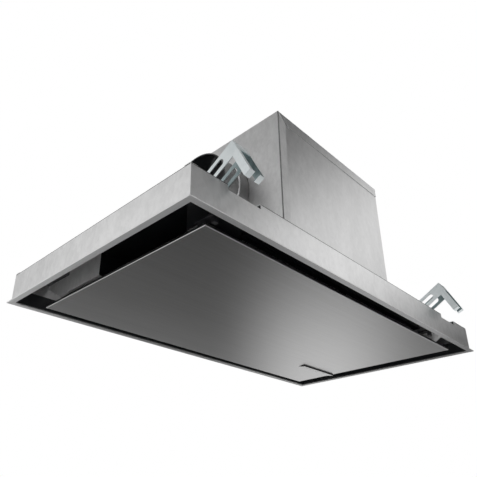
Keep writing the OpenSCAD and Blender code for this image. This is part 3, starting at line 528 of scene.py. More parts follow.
rim_low, rim_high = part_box("rim_frame")
rim_bar = 11*MM
bm = flat_rectangle(rim_low, rim_high, rim_low.z)
bmesh.ops.inset_region(bm, faces=bm.faces, thickness=rim_bar, use_boundary=True, use_even_offset=True)
middle = min(bm.faces, key=lambda f: f.calc_center_median().length)
bmesh.ops.delete(bm, geom=[middle], context="FACES_ONLY")
grow_up(bm, rim_high.z - rim_low.z)
round_edges(bm, sharp_edges(bm), 0.35*MM, 3)
make_piece("ceiling_flange", bm, steel_flange_painted_shade, "rim_frame")
print("flange", round(rim_high.x*2, 3), "by", round(rim_high.y*2, 3), "m")

# %% [markdown]
# The casing and the motor box are folded from flat sheet. Such a piece could be carved from a block, but then
# its thickness would have to be right at every wall. Here a chain of points is swept into a strip, one face
# for each flat of the sheet. The strip is cut while it is thin, its folds are rounded, and it gets its
# thickness last, so that every cut edge has the sheet's width. The rounds get a darker finish, which is
# painted shade that draws the edges.

# %% Folding sheet
SHEET = 1*MM
FLAT = 0.985


def thicken(bm, thickness):
    """Gives open faces a wall on the side away from their normals."""
    bmesh.ops.solidify(bm, geom=list(bm.faces) + list(bm.edges) + list(bm.verts), thickness=thickness)


def swept_strip(points, along):
    """Faces swept from a chain of points along a vector."""
    bm = bmesh.new()
    chain = [bm.verts.new(p) for p in points]
    edges = [bm.edges.new(pair) for pair in zip(chain, chain[1:])]
    swept = bmesh.ops.extrude_edge_only(bm, edges=edges)
    moved = [v for v in swept["geom"] if isinstance(v, bmesh.types.BMVert)]
    bmesh.ops.translate(bm, vec=along, verts=moved)
    return bm


def paint_fold_shade(piece, finish):
    """Gives the faces that turn a corner a darker finish, as painted shade."""
    paint_faces(piece, finish, lambda face: max(abs(part) for part in face.normal) < FLAT)


def point_outwards(bm, centre):
    """Turns every face of an open strip to look away from a point."""
    bmesh.ops.recalc_face_normals(bm, faces=bm.faces)
    bm.faces.ensure_lookup_table()
    biggest = max(bm.faces, key=lambda f: f.calc_area())
    if biggest.normal.dot(biggest.calc_center_median() - centre) < 0:
        bmesh.ops.reverse_faces(bm, faces=bm.faces)


def cut_at(bm, point, normal, clear_outer=False):
    """Cuts along a plane, and may delete what lies on the side of its normal."""
    everything = list(bm.faces) + list(bm.edges) + list(bm.verts)
    bmesh.ops.bisect_plane(bm, geom=everything, plane_co=point, plane_no=normal, clear_outer=clear_outer)


print("sheet thickness", SHEET, "m")

# %% [markdown]
# The casing has four walls, each with a return under its top. The long walls also have notches, through
# which the clamps swing out. A Boolean could cut those from the finished wall, but their corners are
# easiest to round while the sheet is still thin. So five cuts with planes outline two notches, what lies
# inside them is deleted, and a bevel rounds their lower corners.

# %% Casing walls
WALL_BEND = 2.6*MM
NOTCH_FLOOR = 46*MM
NOTCH_SIDES = (306.5*MM, 375.5*MM)
NOTCH_ROUND = 2*MM


def cut_notches(bm):
    """Takes the clamps' notches out of a long wall's strip."""
    for x in NOTCH_SIDES:
        cut_at(bm, (x, 0, 0), (1, 0, 0))
        cut_at(bm, (-x, 0, 0), (1, 0, 0))
    cut_at(bm, (0, 0, NOTCH_FLOOR), (0, 0, 1))
    spare = [
        f for f in bm.faces
        if f.calc_center_median().z > NOTCH_FLOOR
        and NOTCH_SIDES[0] < abs(f.calc_center_median().x) < NOTCH_SIDES[1]
    ]
    bmesh.ops.delete(bm, geom=spare, context="FACES")


def round_notches(bm):
    """Rounds the lower corners of the notches."""
    corners = [
        v for v in bm.verts
        if near(v.co.z, NOTCH_FLOOR) and any(near(abs(v.co.x), x) for x in NOTCH_SIDES)
    ]
    bmesh.ops.bevel(
        bm, geom=corners, offset=NOTCH_ROUND, segments=4, profile=0.5, affect="VERTICES", material=-1)


def wall(node, long_side):
    """A folded wall; the long ones lie along X and have notches."""
    low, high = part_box(node)
    if long_side:
        outer, inner = (high.y, low.y) if high.y > 0 else (low.y, high.y)
        points = [(low.x, outer, low.z), (low.x, outer, high.z), (low.x, inner, high.z)]
        bm = swept_strip(points, (high.x - low.x, 0, 0))
        cut_notches(bm)
    else:
        outer, inner = (high.x, low.x) if high.x > 0 else (low.x, high.x)
        points = [(outer, low.y, low.z), (outer, low.y, high.z), (inner, low.y, high.z)]
        bm = swept_strip(points, (0, high.y - low.y, 0))
    point_outwards(bm, Vector((0, 0, 20*MM)))
    across = 1 if long_side else 0
    folds = [e for e in sharp_edges(bm) if all(near(v.co[across], outer) for v in e.verts)]
    round_edges(bm, folds, WALL_BEND, 4)
    if long_side:
        round_notches(bm)
    thicken(bm, SHEET)
    # The folds and rounds get a darker finish: painted shade.
    paint_fold_shade(make_piece(node + "_folded", bm, zinc_walls, node, smooth_below=40), zinc_edge_painted_shade)


for side in ("front", "back", "left", "right"):
    wall("wall_" + side, side in ("front", "back"))
print("walls folded: 4")

# %% [markdown]
# The top of the casing is a flat sheet that would drum, so a press raises long beads in it. A bump in the
# finish could draw them, but it would vanish in a view along the sheet. Each bead is a low mound with round
# ends: a rectangle whose corners are rounded, grown up and drawn in.

# %% Top plate and its pressed beads
plate_low, plate_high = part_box("top_plate")
dressed("top_plate", zinc_sheet, 0.2*MM)
BEAD_SINK = 0.1*MM


def beads(name, spans, z, rise, material, node):
    """Low mounds with round ends on a plate, each sunk a little into it."""
    bm = bmesh.new()
    slope = rise*1.6
    for low, high in spans:
        single = flat_rectangle(low, high, z - BEAD_SINK)
        reach = min(high[0] - low[0], high[1] - low[1])/2*0.98
        bmesh.ops.bevel(
            single, geom=list(single.verts), offset=reach, segments=6, profile=0.5,
            affect="VERTICES", material=-1)
        bmesh.ops.recalc_face_normals(single, faces=single.faces)
        grow_up(single, rise + BEAD_SINK)
        top = max(single.faces, key=lambda f: f.calc_center_median().z)
        centre = top.calc_center_median()
        shrink = Vector((1 - 2*slope/(high[0] - low[0]), 1 - 2*slope/(high[1] - low[1]), 1))
        bmesh.ops.scale(single, vec=shrink, space=Matrix.Translation(-centre), verts=top.verts)
        round_edges(single, top.edges, rise*0.6, 3)
        joined = mesh_from(single, "bead")
        bm.from_mesh(joined)
        bpy.data.meshes.remove(joined)
    make_piece(name, bm, material, node, replaces=False, smooth_below=50)


BEAD_WIDTH = 12*MM
BEAD_ROWS = (-110*MM, 0, 110*MM)
BEAD_MARGIN = 30*MM
left_span = (plate_low.x + BEAD_MARGIN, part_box("box_left")[0].x - 40*MM)
right_span = (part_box("box_right")[1].x + BEAD_MARGIN, plate_high.x - BEAD_MARGIN)
terminal_low, terminal_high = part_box("terminal_box")
spans = []
for row in BEAD_ROWS:
    for span in (left_span, right_span):
        low, high = (span[0], row - BEAD_WIDTH/2), (span[1], row + BEAD_WIDTH/2)
        clear = high[0] < terminal_low.x or high[1] < terminal_low.y or low[1] > terminal_high.y
        spans.append((low, high if clear else (terminal_low.x - BEAD_WIDTH, high[1])))
beads("top_plate_beads", spans, plate_high.z, 1.0*MM, zinc_sheet, "top_plate")
print("beads pressed:", len(spans))

# %% [markdown]
# Inside the opening nearly everything is painted black, so that the gap round the panel reads as a shadow:
# the black tray under the top plate is painted shade. The pockets for the clamps hang from the tray: they are
# zinc outside, where the gap shows them, and painted black inside, where the notches do, as painted shade.
# Each could be two shells, but one mesh with two materials keeps the sheet whole. Which side a face is on
# follows from its normal, which points to the pocket's middle or away from it. The left pockets' slopes and
# the front of the control box are black as well, as the picture's gap is there: painted shade on the slopes
# and a painted reflection on the control box.

# %% Black inner parts
# The black tray under the top plate is painted shade inside the opening.
dressed("air_tray", black_paint, 0.2*MM)
dressed("air_guide_frame", black_paint, 0.8*MM)
pocket_middles = [(low + high)/2 for low, high in islands("clamp_pockets")]


def painted_shade_in_pocket(face):
    """The inside of each pocket, the left slopes and the outer end of the front left pocket: faces painted
    black as painted shade.
    """
    middle = min(pocket_middles, key=lambda place: (place - face.center).length)
    inside = face.normal.xy.dot((middle - face.center).xy) > 0 or face.normal.z > 0.5
    left_slope = middle.x < 0 and -0.95 < face.normal.y < -0.3
    front_left_end = middle.x < 0 and middle.y < 0 and face.normal.x < -0.9
    return inside or left_slope or front_left_end


# The pockets' inner faces, the left slopes and the front left end get painted shade.
paint_faces(dressed("clamp_pockets", zinc_inner, 0.25*MM), black_paint, painted_shade_in_pocket)
dressed("panel_catches", black_mould, 0.4*MM)
# The control box's front faces are painted black: a painted reflection of the black frame before them.
paint_faces(dressed("control_box", zinc_inner, 0.7*MM), black_paint, lambda face: face.normal.y < -0.9)
print("inner parts dressed: 5")

# %% [markdown]
# A grease filter is a folded aluminium border round layers of expanded mesh. A sheet with see-through holes
# could stand for the mesh, but its strands would catch no light. So the outer layer is made of struts: a
# grid whose faces are poked, so that dissolving the old edges leaves a tiling of diamonds, which the
# wireframe operator turns into strands.

# %% Grease filters
dressed("filter_frame", black_paint, 0.4*MM)
BORDER = 14*MM
DIAMOND = (9*MM, 6*MM)
STRAND = 0.9*MM
STRAND_DROP = 2.2*MM


def expanded_mesh(node, name):
    """Diamonds of strands inside a filter's border."""
    low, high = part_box(node)
    across = high.x - low.x - 2*BORDER
    down = high.y - low.y - 2*BORDER
    bm = bmesh.new()
    bmesh.ops.create_grid(
        bm, x_segments=round(across/DIAMOND[0]), y_segments=round(down/DIAMOND[1]), size=0.5)
    old_edges = list(bm.edges)
    bmesh.ops.poke(bm, faces=list(bm.faces))
    inner = [e for e in old_edges if len(e.link_faces) == 2]
    bmesh.ops.dissolve_edges(bm, edges=inner, use_verts=False)
    bmesh.ops.scale(bm, vec=(across, down, 1), verts=bm.verts)
    middle = (low + high)/2 - Vector((0, 0, STRAND_DROP))
    bmesh.ops.translate(bm, vec=middle, verts=bm.verts)
    bmesh.ops.wireframe(
        bm, faces=list(bm.faces), thickness=STRAND, use_replace=True, use_boundary=True,
        use_even_offset=False)
    make_piece(name, bm, filter_strands, node, replaces=False).modifiers.clear()


def filter_body(node, name):
    """A filter's border, and the layers inside it."""
    bm = node_mesh(node)
    round_edges(bm, sharp_edges(bm), 0.6*MM)
    piece = make_piece(name, bm, filter_border, node)
    low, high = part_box(node)

    def inside_border(face):
        inside_x = low.x + BORDER < face.center.x < high.x - BORDER
        inside_y = low.y + BORDER < face.center.y < high.y - BORDER
        return inside_x and inside_y and abs(face.normal.z) > 0.9

    paint_faces(piece, filter_layers, inside_border)


for side in ("left", "right"):
    filter_body("grease_filter_" + side, "grease_filter_%s_body" % side)
    expanded_mesh("grease_filter_" + side, "grease_filter_%s_mesh" % side)
print("filters made: 2")

# %% [markdown]
# A wire handle hangs from each filter, so that fingers can pull the filter out. It could be built from
# cylinders and elbows, but a curve with a round bevel is one even tube through all its corners. The curve
# is turned into a mesh before anything else is done to it, so that it is a piece like the others.

# %% Filter handles
def bent_wire(name, points, radius, corner, material, node):
    """A wire through some points, with round corners."""
    curve = bpy.data.curves.new(name, "CURVE")
    curve.dimensions = "3D"
    spline = curve.splines.new("POLY")
    path = [Vector(points[0])]
    for before, at, after in zip(points, points[1:], points[2:]):
        before, at, after = Vector(before), Vector(at), Vector(after)
        enter = at + (before - at).normalized()*corner
        leave = at + (after - at).normalized()*corner
        for step in range(7):
            t = step/6
            path.append(enter*(1 - t)**2 + at*2*t*(1 - t) + leave*t*t)
    path.append(Vector(points[-1]))
    spline.points.add(len(path) - 1)
    for point, place in zip(spline.points, path):
        point.co = (*place, 1)
    curve.bevel_depth = radius
    curve.bevel_resolution = 4
    curve.use_fill_caps = True
    thread = bpy.data.objects.new(name + "_path", curve)
    bpy.context.collection.objects.link(thread)
    solid = bpy.data.meshes.new_from_object(thread.evaluated_get(bpy.context.evaluated_depsgraph_get()))
    bm = bmesh.new()
    bm.from_mesh(solid)
    close_up(bm)
    bpy.data.objects.remove(thread)
    make_piece(name, bm, material, node, smooth_below=50)


HANDLE_R = 2*MM
HANDLE_CORNER = 6*MM
for index, (low, high) in enumerate(islands("filter_handles")):
    y = (low.y + high.y)/2
    z = low.z + HANDLE_R
    loop = [
        (low.x + HANDLE_R, y, high.z), (low.x + HANDLE_R, y, z),
        (high.x - HANDLE_R, y, z), (high.x - HANDLE_R, y, high.z),
    ]
    name = "filter_handle_%d" % (index + 1)
    bent_wire(name, loop, HANDLE_R, HANDLE_CORNER, bright_steel, "filter_handles")
print("handles bent:", index + 1)

# %% [markdown]
# A few places need a shape taken out of a closed solid: the collar's hole in the motor box and the crosses
# in the screw heads. The faces could be built round such holes, but a Boolean suits one clean cut in a
# closed solid. It is evaluated at once and the cutter is deleted, so that nothing of it is left in the
# scene.

# %% Cutting holes
def turned_to(axis):
    """A matrix that turns up to an axis."""
    return Vector((0, 0, 1)).rotation_difference(Vector(axis)).to_matrix().to_4x4()


def cut_out(piece, bm):
    """Cuts the shape of a bmesh out of a piece."""
    cutter = bpy.data.objects.new("cutter", mesh_from(bm, "cutter"))
    bpy.context.collection.objects.link(cutter)
    drill = piece.modifiers.new("hole", "BOOLEAN")
    drill.object = cutter
    drill.solver = "EXACT"
    piece.modifiers.move(len(piece.modifiers) - 1, 0)
    cut = bpy.data.meshes.new_from_object(piece.evaluated_get(bpy.context.evaluated_depsgraph_get()))
    piece.modifiers.remove(drill)
    piece.data = cut
    bpy.data.objects.remove(cutter)


def cut_round(piece, centre, radius, axis, depth):
    """Cuts a round hole through a piece."""
    bm = bmesh.new()
    bmesh.ops.create_cone(
        bm, cap_ends=True, segments=96, radius1=radius, radius2=radius, depth=depth,
        matrix=Matrix.Translation(centre) @ turned_to(axis))
    cut_out(piece, bm)


print("cutting helpers ready")

# %% [markdown]
# The motor box is made of folded panels. Its left side wraps round both the front and the back edge with
# narrow returns, cut at 45 degrees where they meet the cover's folds. It is swept like the casing's walls,
# and the collar's hole is cut after it has its thickness. The other three sides are flat and are only
# dressed.

# %% Motor box sides
BEND = 1.7*MM
COLLAR_R = 74.5*MM
box_middle = Vector((0, -50*MM, 180*MM))
box_low, box_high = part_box("box_left")
cover_low, cover_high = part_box("box_cover")
collar_low, collar_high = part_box("duct_collar")
collar_centre = (collar_low + collar_high)/2
collar_centre.x = box_low.x
outline = [
    (box_high.x, box_low.y, box_low.z), (box_low.x, box_low.y, box_low.z),
    (box_low.x, box_high.y, box_low.z), (box_high.x, box_high.y, box_low.z),
]
bm = swept_strip(outline, (0, 0, box_high.z - box_low.z))
point_outwards(bm, box_middle)
round_edges(bm, sharp_edges(bm), BEND, 4)
cut_at(bm, (box_low.x + 2*BEND, 0, box_high.z - BEND), (1, 0, 1), clear_outer=True)
thicken(bm, SHEET)
left_side = make_piece("motor_box_left", bm, zinc_side, "box_left", smooth_below=40)
cut_round(left_side, collar_centre, COLLAR_R + 0.2*MM, (1, 0, 0), 8*MM)
# The folds and rounds get a darker finish: painted shade.
paint_fold_shade(left_side, zinc_fold_painted_shade)

for side in ("right", "front", "back"):
    dressed("box_" + side, zinc_sheet, 0.6*MM)
print("box sides made: 4")

# %% [markdown]
# The cover is one sheet with folds on three sides, and with a shallow groove pressed round its top, which
# keeps it stiff. The groove could be cut out, but the sheet would be thinner there. Instead the top face is
# inset four times, down a little and up again, while the sheet is still thin. The fourth side is cut at 45
# degrees, with a narrow gap to the left side's returns.

# %% Motor box cover
MITRE_GAP = 2.2*MM
COVER_STEPS = ((26*MM, 0), (3*MM, -0.8*MM), (8*MM, 0), (3*MM, 0.8*MM))
bm = flat_rectangle(cover_low, cover_high, cover_high.z)
rims = [e for e in bm.edges if not all(near(v.co.x, cover_low.x) for v in e.verts)]
dropped = bmesh.ops.extrude_edge_only(bm, edges=rims)
lowered = [v for v in dropped["geom"] if isinstance(v, bmesh.types.BMVert)]
bmesh.ops.translate(bm, vec=(0, 0, cover_low.z - cover_high.z), verts=lowered)
point_outwards(bm, box_middle)
top = max(bm.faces, key=lambda f: f.calc_area())
for step_in, step_up in COVER_STEPS:
    bmesh.ops.inset_region(bm, faces=[top], thickness=step_in, depth=step_up, use_even_offset=True)
round_edges(bm, sharp_edges(bm, 60), BEND, 4)
mitre = (box_low.x + 2*BEND + MITRE_GAP, 0, cover_high.z - BEND)
cut_at(bm, mitre, (-1, 0, -1), clear_outer=True)
thicken(bm, SHEET)
# The folds and rounds get a darker finish: painted shade.
paint_fold_shade(make_piece("motor_box_cover", bm, zinc_sheet, "box_cover", smooth_below=40), zinc_fold_painted_shade)
print("motor box", [round(v, 3) for v in (box_low.x, cover_high.x, box_low.y, box_high.y, cover_high.z)])

# %% [markdown]
# The duct collar is galvanised sheet, black inside, with a bead rolled into it that stops the duct. It
# could be a tube with a ring laid round it, but rolled sheet has no joint there. So one profile of a few
# points, bead and lip included, is spun once round the collar's axis. The two flaps in it are half discs
# that turn on one upright pin.

# %% Duct collar and flaps
def spun(name, profile, centre, axis, material, node, steps=96):
    """Spins a profile of (radius, distance along the axis) points round an axis."""
    bm = bmesh.new()
    chain = [bm.verts.new((r, 0, d)) for r, d in profile]
    edges = [bm.edges.new(pair) for pair in zip(chain, chain[1:])]
    bmesh.ops.spin(
        bm, geom=chain + edges, cent=(0, 0, 0), axis=(0, 0, 1), angle=math.tau, steps=steps, use_merge=True)
    bm.transform(Matrix.Translation(centre) @ turned_to(axis))
    close_up(bm)
    return make_piece(name, bm, material, node, smooth_below=38)


def arc(centre, radius, start, end, steps):
    """Points on an arc, from one angle to another in degrees."""
    angles = [math.radians(start + (end - start)*i/steps) for i in range(steps + 1)]
    return [(centre[0] + radius*math.cos(a), centre[1] + radius*math.sin(a)) for a in angles]


collar_reach = box_low.x - collar_low.x
COLLAR_BORE = 72*MM
COLLAR_LIP = 1.2*MM
DISC_R = 91.5*MM
DISC_BACK = -2.4*MM
DISC_FRONT = -1.1*MM
NECK = 0.4*MM
BEAD_AT = 25.5*MM
bead_shape = [(0, -2.6), (0.4, -2.3), (1.2, -1.4), (1.4, 0), (1.2, 1.4), (0.4, 2.3), (0, 2.6)]
collar_profile = [
    (COLLAR_BORE, DISC_BACK), (DISC_R, DISC_BACK), (DISC_R, DISC_FRONT),
    (COLLAR_R - NECK, DISC_FRONT), (COLLAR_R - NECK, 1*MM), (COLLAR_R, 1.6*MM),
]
collar_profile += [(COLLAR_R + out*MM, BEAD_AT + along*MM) for out, along in bead_shape]
collar_profile += [(COLLAR_R, collar_reach - 6*MM), (COLLAR_R - 0.5*MM, collar_reach - 4*MM)]
collar_profile += arc((COLLAR_R - COLLAR_LIP, collar_reach - COLLAR_LIP), COLLAR_LIP, 0, 180, 8)
collar_profile += [(COLLAR_BORE, collar_reach - 4*MM), (COLLAR_BORE, DISC_BACK)]
collar = spun("duct_collar_ring", collar_profile, collar_centre, (-1, 0, 0), zinc_collar, "duct_collar")


def black_in_collar(face):
    """The bore and the outer lip."""
    radius = (face.center - collar_centre).yz.length
    return radius < COLLAR_BORE + 0.4*MM or collar_centre.x - face.center.x > collar_reach - 2.5*MM


def bead_painted_highlight(face):
    """The rolled bead, painted bright as a painted highlight."""
    return abs(collar_centre.x - face.center.x - BEAD_AT) < 2*MM and not black_in_collar(face)


paint_faces(collar, black_paint, black_in_collar)
# The bead is painted bright steel: a painted highlight.
paint_faces(collar, bright_steel, bead_painted_highlight)
for side in ("near", "far"):
    dressed("flap_" + side, black_mould, 0.25*MM)
print("collar across", round(2*COLLAR_R, 4))

# %% [markdown]
# The suction panel is the face of the hood. It is a shallow tray of brushed steel with softly rounded
# edges, which draw the thin bright lines along its sides, and a black pan stiffens it from above. The
# control bar is a low wedge under its right end, steel below and black at its steep sides, with four bare
# keys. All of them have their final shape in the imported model, so they are dressed, and the panel's folds
# get a wider round than its cut edges.

# %% Suction panel and controls
panel_low, panel_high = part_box("suction_panel")


def panel_rim(edge):
    """The edges where the panel's face folds into its sides."""
    places = [v.co for v in edge.verts]
    on_x = all(near(abs(place.x), panel_high.x) for place in places)
    on_y = all(near(abs(place.y), panel_high.y) for place in places)
    return (on_x or on_y) and all(near(place.z, panel_low.z) for place in places)


dressed("suction_panel", steel_panel, 0.2*MM, folds=panel_rim, fold_width=1.1*MM)
dressed("panel_stiffener", black_mould, 0.4*MM)
dressed("panel_strikes", bright_steel, 0.3*MM)
paint_faces(dressed("control_bar", steel_bar, 0.3*MM), black_mould, lambda face: abs(face.normal.z) < 0.5)
for number in range(1, 5):
    dressed("key_%d" % number, key_metal, 0.35*MM)
dressed("control_board", board_lacquer, 0.2*MM)
print("panel", [round(v, 3) for v in panel_high - panel_low])

# %% [markdown]
# The clamps are zinc-plated sheet: two cheeks, a strap over the bend, and feet that press on the ceiling
# board. Between the cheeks the plate is painted darker, as painted shade. Cards could darken it there, but
# they would darken the outside too, so the faces that look inwards get their own darker finish.

# %% Ceiling clamps
CORNERS = ("front_left", "front_right", "back_left", "back_right")
for corner in CORNERS:
    clamp = dressed("clamp_" + corner, zinc_clamp, 0.35*MM)
    clamp_low, clamp_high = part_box("clamp_" + corner)
    middle = (clamp_low.x + clamp_high.x)/2
    # The inward faces get painted shade.
    paint_faces(
        clamp, zinc_inside_painted_shade, lambda face: face.normal.x*math.copysign(1, middle - face.center.x) > 0.7)
    dressed("carrier_" + corner, zinc_clamp, 0.5*MM)
dressed("clamp_towers", zinc_clamp, 0.3*MM)
print("clamps dressed:", len(CORNERS))

# %% [markdown]
# The clamps' carriers ride on long screws. A thread could be a bump in the finish, but its outline would
# stay straight. A real helix is a spin that climbs one pitch for each turn, here with a ridge of three
# faces round a plain core.

# %% Clamp screws
THREAD_R = 3*MM
ROOT_R = 2.55*MM
PITCH = 1.25*MM
STEPS_PER_TURN = 18
HEAD_H = 5*MM


def threaded_rod(name, low, high, material, node):
    """A screw that points up, with a hexagonal head below."""
    centre = (low + high)/2
    start = low.z + HEAD_H
    turns = int((high.z - start)/PITCH) - 1
    bm = bmesh.new()
    ridge = [(ROOT_R, 0), (THREAD_R, PITCH*0.45), (THREAD_R, PITCH*0.55), (ROOT_R, PITCH)]
    chain = [bm.verts.new((r, 0, d)) for r, d in ridge]
    edges = [bm.edges.new(pair) for pair in zip(chain, chain[1:])]
    bmesh.ops.spin(
        bm, geom=chain + edges, cent=(0, 0, 0), axis=(0, 0, 1), dvec=(0, 0, PITCH/STEPS_PER_TURN),
        angle=math.tau*turns, steps=STEPS_PER_TURN*turns, use_merge=False)
    bmesh.ops.translate(bm, vec=(centre.x, centre.y, start), verts=bm.verts)
    bmesh.ops.create_cone(
        bm, cap_ends=True, segments=24, radius1=ROOT_R*1.02, radius2=ROOT_R*0.9, depth=high.z - start,
        matrix=Matrix.Translation((centre.x, centre.y, (high.z + start)/2)))
    bmesh.ops.create_cone(
        bm, cap_ends=True, segments=6, radius1=5.2*MM, radius2=5.5*MM, depth=HEAD_H,
        matrix=Matrix.Translation((centre.x, centre.y, low.z + HEAD_H/2)))
    close_up(bm)
    make_piece(name, bm, material, node, smooth_below=50)


for low, high in islands("clamp_screws"):
    corner = ("front" if low.y < 0 else "back") + ("_left" if low.x < 0 else "_right")
    threaded_rod("clamp_screw_" + corner, low, high, zinc_clamp, "clamp_screws")
print("screws threaded to", round(high.z, 4), "m")

# %% [markdown]
# Domed rivets hold the casing along its returns, and screws with a cross recess hold the cover by its
# folds. Heads could be spheres pressed flat, but a spun profile has the right dome and rim in a few points.
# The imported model's own solids say where each one sits.

# %% Rivets and screws
rivet_dome = [(0, 1.15*MM), (1.2*MM, 1.05*MM), (2.2*MM, 0.7*MM), (2.9*MM, 0.2*MM), (3*MM, 0), (0, 0)]
for index, (low, high) in enumerate(islands("casing_rivets")):
    seat = Vector(((low.x + high.x)/2, (low.y + high.y)/2, low.z))
    spun("rivet_%02d" % (index + 1), rivet_dome, seat, (0, 0, 1), bright_steel, "casing_rivets", steps=24)

pan_head = [(0, 1.5*MM), (1.8*MM, 1.45*MM), (2.9*MM, 1.1*MM), (3.5*MM, 0.3*MM), (3.6*MM, 0), (0, 0)]
RECESS = (3.6*MM, 0.8*MM, 1.2*MM)
RECESS_AT = 1.4*MM
RECESS_TURN = 0.6


def cross_recess(piece, centre, axis):
    """Cuts the cross for a screwdriver into a head."""
    for angle in (RECESS_TURN, RECESS_TURN + math.pi/2):
        bm = bmesh.new()
        bmesh.ops.create_cube(bm, size=1.0)
        bmesh.ops.scale(bm, vec=RECESS, verts=bm.verts)
        bmesh.ops.translate(bm, vec=(0, 0, RECESS_AT), verts=bm.verts)
        bm.transform(Matrix.Translation(centre) @ turned_to(axis) @ Matrix.Rotation(angle, 4, "Z"))
        cut_out(piece, bm)


for index, (low, high) in enumerate(islands("box_screws")):
    size = high - low
    axis = Vector((1, 0, 0)) if size.x < size.y else Vector((0, 1, 0))
    middle = (low + high)/2
    seat = Vector((low.x, middle.y, middle.z)) if axis.x else Vector((middle.x, low.y, middle.z))
    name = "cover_screw_%d" % (index + 1)
    screw = spun(name, pan_head, seat, axis, bright_steel, "box_screws", steps=32)
    cross_recess(screw, seat, axis)
print("cover screws made:", index + 1)

# %% [markdown]
# What is left outside are the mains terminal box with its lid and gland, and the panel's hinges. Their
# shapes are plain and already right, so they only get rounded edges: wide ones for mouldings and narrow
# ones for bent steel.

# %% Terminal box and hinges
for node in ("terminal_box", "terminal_lid"):
    dressed(node, black_mould, 1.2*MM)
dressed("cable_gland", black_mould, 0.4*MM)
for node in ("hinge_arms", "hinge_brackets", "hinge_pins"):
    dressed(node, bright_steel, 0.25*MM)
print("fittings dressed: 6")

# %% [markdown]
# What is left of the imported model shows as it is: the blower inside the motor box and the flaps' pin. New
# pieces could stand for these as well, but the box hides them, so they only need their finishes.

# %% Finishes of the nodes that stay
kept_finishes = {
    "flap_pin": bright_steel,
    "scroll_lower": black_mould,
    "scroll_upper": black_mould,
    "inlet_ring": bright_steel,
    "impeller": black_mould,
    "motor_shaft": bright_steel,
    "motor": motor_paint,
    "motor_bracket": bright_steel,
    "motor_bushes": rubber,
    "capacitor": white_mould,
}
for node, material in kept_finishes.items():
    mesh = nodes[node].data
    mesh.materials.clear()
    mesh.materials.append(material)
print("nodes kept:", len(kept_finishes))

# %% [markdown]
# The studio starts with a pale floor under the hood, which catches a soft shadow. An ordinary white floor
# would look grey where less light falls on it. So it is matt for the light, plain white for reflections,
# and half of each for the camera, and it stays pale beside the white world.

# %% Floor
FLOOR_Z = -0.62
FLOOR_SIDE = 14


def stage_plane(name, centre, size, faces, material, hole=(0, 0), radii=(1, 1), turn=0):
    """A flat rectangle whose UV map counts radii from the centre of its hole."""
    bm = bmesh.new()
    uvs = bm.loops.layers.uv.new("hole")
    bmesh.ops.create_grid(bm, x_segments=1, y_segments=1, size=0.5)
    bmesh.ops.scale(bm, vec=(size[0], size[1], 1), verts=bm.verts)
    for face in bm.faces:
        for loop in face.loops:
            away = Vector(loop.vert.co[:2]) - Vector(hole)
            away.rotate(Matrix.Rotation(-math.radians(turn), 2))
            loop[uvs].uv = (away.x/radii[0], away.y/radii[1])
    outwards = Vector(faces).normalized()
    side = Vector((0, 0, 1)).cross(outwards)
    side = Vector((1, 0, 0)) if side.length < 0.01 else side.normalized()
    axes = Matrix((side, outwards.cross(side), outwards)).transposed().to_4x4()
    bm.transform(Matrix.Translation(centre) @ axes)
    mesh = mesh_from(bm, name)
    mesh.materials.append(material)
    plane = bpy.data.objects.new(name, mesh)
    bpy.context.collection.objects.link(plane)
    return plane


def floor_finish():
    """A pale matt floor that metal and glass see as white, with the hood's shadow left on it."""
    paint = Paint("floor", roughness=0.75)
    paint.shader.inputs["Base Color"].default_value = (0.82, 0.82, 0.82, 1)
    mirrored = paint.node("ShaderNodeLightPath", {}, {}, "Is Glossy Ray")
    seen_through = paint.node("ShaderNodeLightPath", {}, {}, "Is Transmission Ray")
    looked_at = paint.node("ShaderNodeLightPath", {}, {}, "Is Camera Ray")
    white = paint.node("ShaderNodeEmission", {}, {"Color": (1, 1, 1, 1), "Strength": 1.0})
    surface = Value(paint, paint.shader.outputs["BSDF"])
    share = mirrored.or_else(seen_through).or_else(looked_at*0.5)
    mixed = paint.node("ShaderNodeMixShader", {}, {0: share, 1: surface, 2: white})
    paint.feed_node("Material Output", "Surface", mixed)
    return paint.material


stage_plane("floor", (0, 0, FLOOR_Z), (FLOOR_SIDE, FLOOR_SIDE), (0, 0, 1), floor_finish())
print("floor at", FLOOR_Z, "m")

# %% [markdown]
# Brushed metal shows what is round it, and in an all-white room it looks like paper. A picture of a studio
# could be hung round it, but cards can be placed where each reflection needs them. So dark grey cards stand
# out of the camera's sight, where they take no light and throw no shadow. Three have a soft hole that lets
# one patch of the white room show in the steel: the card's own UV map measures how far a point lies from
# the hole, in hole radii, and that distance drives its Alpha. The other three are plain, and darken the
# folds, the collar and the undersides of the clamps.

# %% Dark cards
CARD_LIFT = 0.02
CARD_FROM = 2.0


def card_finish(name, level, soft_from=None, soft_to=None):
    """A dark grey card, which may fade out towards its hole."""
    paint = Paint(name, roughness=1.0)
    paint.shader.inputs["Base Color"].default_value = (level, level, level, 1)
    if soft_to is None:
        return paint.material
    away = paint.node("ShaderNodeTexCoord", {}, {}, "UV")
    distance = paint.node("ShaderNodeVectorMath", {"operation": "LENGTH"}, {0: away}, "Value")
    paint.feed("Alpha", distance.rise(soft_from, soft_to))
    return paint.material


def hung_card(name, azimuth, elevation, size, finish, **hole):
    """A card that hangs two metres away and faces the hood, at angles in degrees."""
    turn = Matrix.Rotation(math.radians(azimuth), 3, "Z") @ Matrix.Rotation(-math.radians(elevation), 3, "Y")
    away = turn @ Vector((1, 0, 0))
    return stage_plane(name, away*CARD_FROM, size, -away, finish, **hole)


def laid_card(name, x, y, size, finish, **hole):
    """A card that lies just above the floor."""
    return stage_plane(name, (x, y, FLOOR_Z + CARD_LIFT), size, (0, 0, 1), finish, **hole)


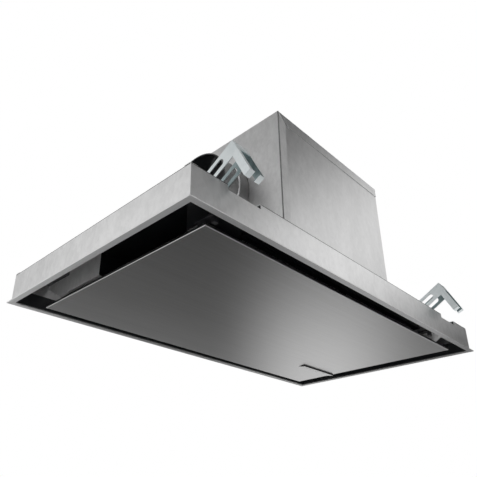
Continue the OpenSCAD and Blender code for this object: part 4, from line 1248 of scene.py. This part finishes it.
cards = [
    laid_card("low_card", 1.5, 1.2, (3.4, 2.6), card_finish("low card", 0.13, 0.3, 1.7),
              hole=(0.6, 0.11), radii=(1.3, 0.40), turn=40),
    laid_card("front_card", 0.45, -1.05, (2.0, 1.3), card_finish("front card", 0.16)),
    hung_card("high_card", -30, 28, (3.2, 2.6), card_finish("high card", 0.12, 0.3, 1.7),
              hole=(0.286, -0.03), radii=(0.9, 0.42), turn=-23),
    hung_card("left_card", 140, 50, (3.0, 2.6), card_finish("left card", 0.12, 0.0, 1.0),
              hole=(-0.35, -1.15), radii=(2.3, 1.7)),
    hung_card("upper_card", 25, 50, (2.2, 1.5), card_finish("upper card", 0.16)),
    hung_card("back_card", 226, 25, (2.4, 1.3), card_finish("back card", 0.16)),
]
for card in cards:
    card.visible_camera = False
    card.visible_diffuse = False
    card.visible_shadow = False
print("cards hung:", len(cards))

# %% [markdown]
# The world is white where the camera or a reflection sees it and dimmer as a source of light, so that
# shadows keep some depth. Two lamps give that light a direction. Small ones would draw hard shadows, so
# they are large. The key lamp is left out of reflections, where it would draw a white line along the folds.

# %% World and lamps
world = bpy.data.worlds.new("studio")
bpy.context.scene.world = world
sky = Tree(world)
seen = sky.node("ShaderNodeLightPath", {}, {}, "Is Camera Ray")
for kind in ("Is Glossy Ray", "Is Transmission Ray"):
    seen = seen.or_else(sky.node("ShaderNodeLightPath", {}, {}, kind))
UNSEEN_STRENGTH = 0.45
strength = sky.node("ShaderNodeMapRange", {}, {"Value": seen, "To Min": UNSEEN_STRENGTH})
sky.feed_node("Background", "Strength", strength)
sky.tree.nodes["Background"].inputs["Color"].default_value = (1, 1, 1, 1)


def lamp(name, place, size, power):
    """A soft lamp that is aimed at the hood."""
    light = bpy.data.lights.new(name, "AREA")
    light.shape = "RECTANGLE"
    light.size, light.size_y = size
    light.energy = power
    holder = bpy.data.objects.new(name, light)
    holder.location = place
    aim = Vector((0, 0, 0.1)) - Vector(place)
    holder.rotation_euler = aim.to_track_quat("-Z", "Y").to_euler()
    bpy.context.collection.objects.link(holder)
    return holder


key_lamp = lamp("key lamp", (-1.6, -1.2, 1.6), (1.6, 1.2), 22)
key_lamp.visible_glossy = False
lamp("back lamp", (1.4, 1.6, 1.8), (1.8, 1.2), 20)
bpy.context.scene.view_settings.view_transform = "Standard"
print("studio ready")
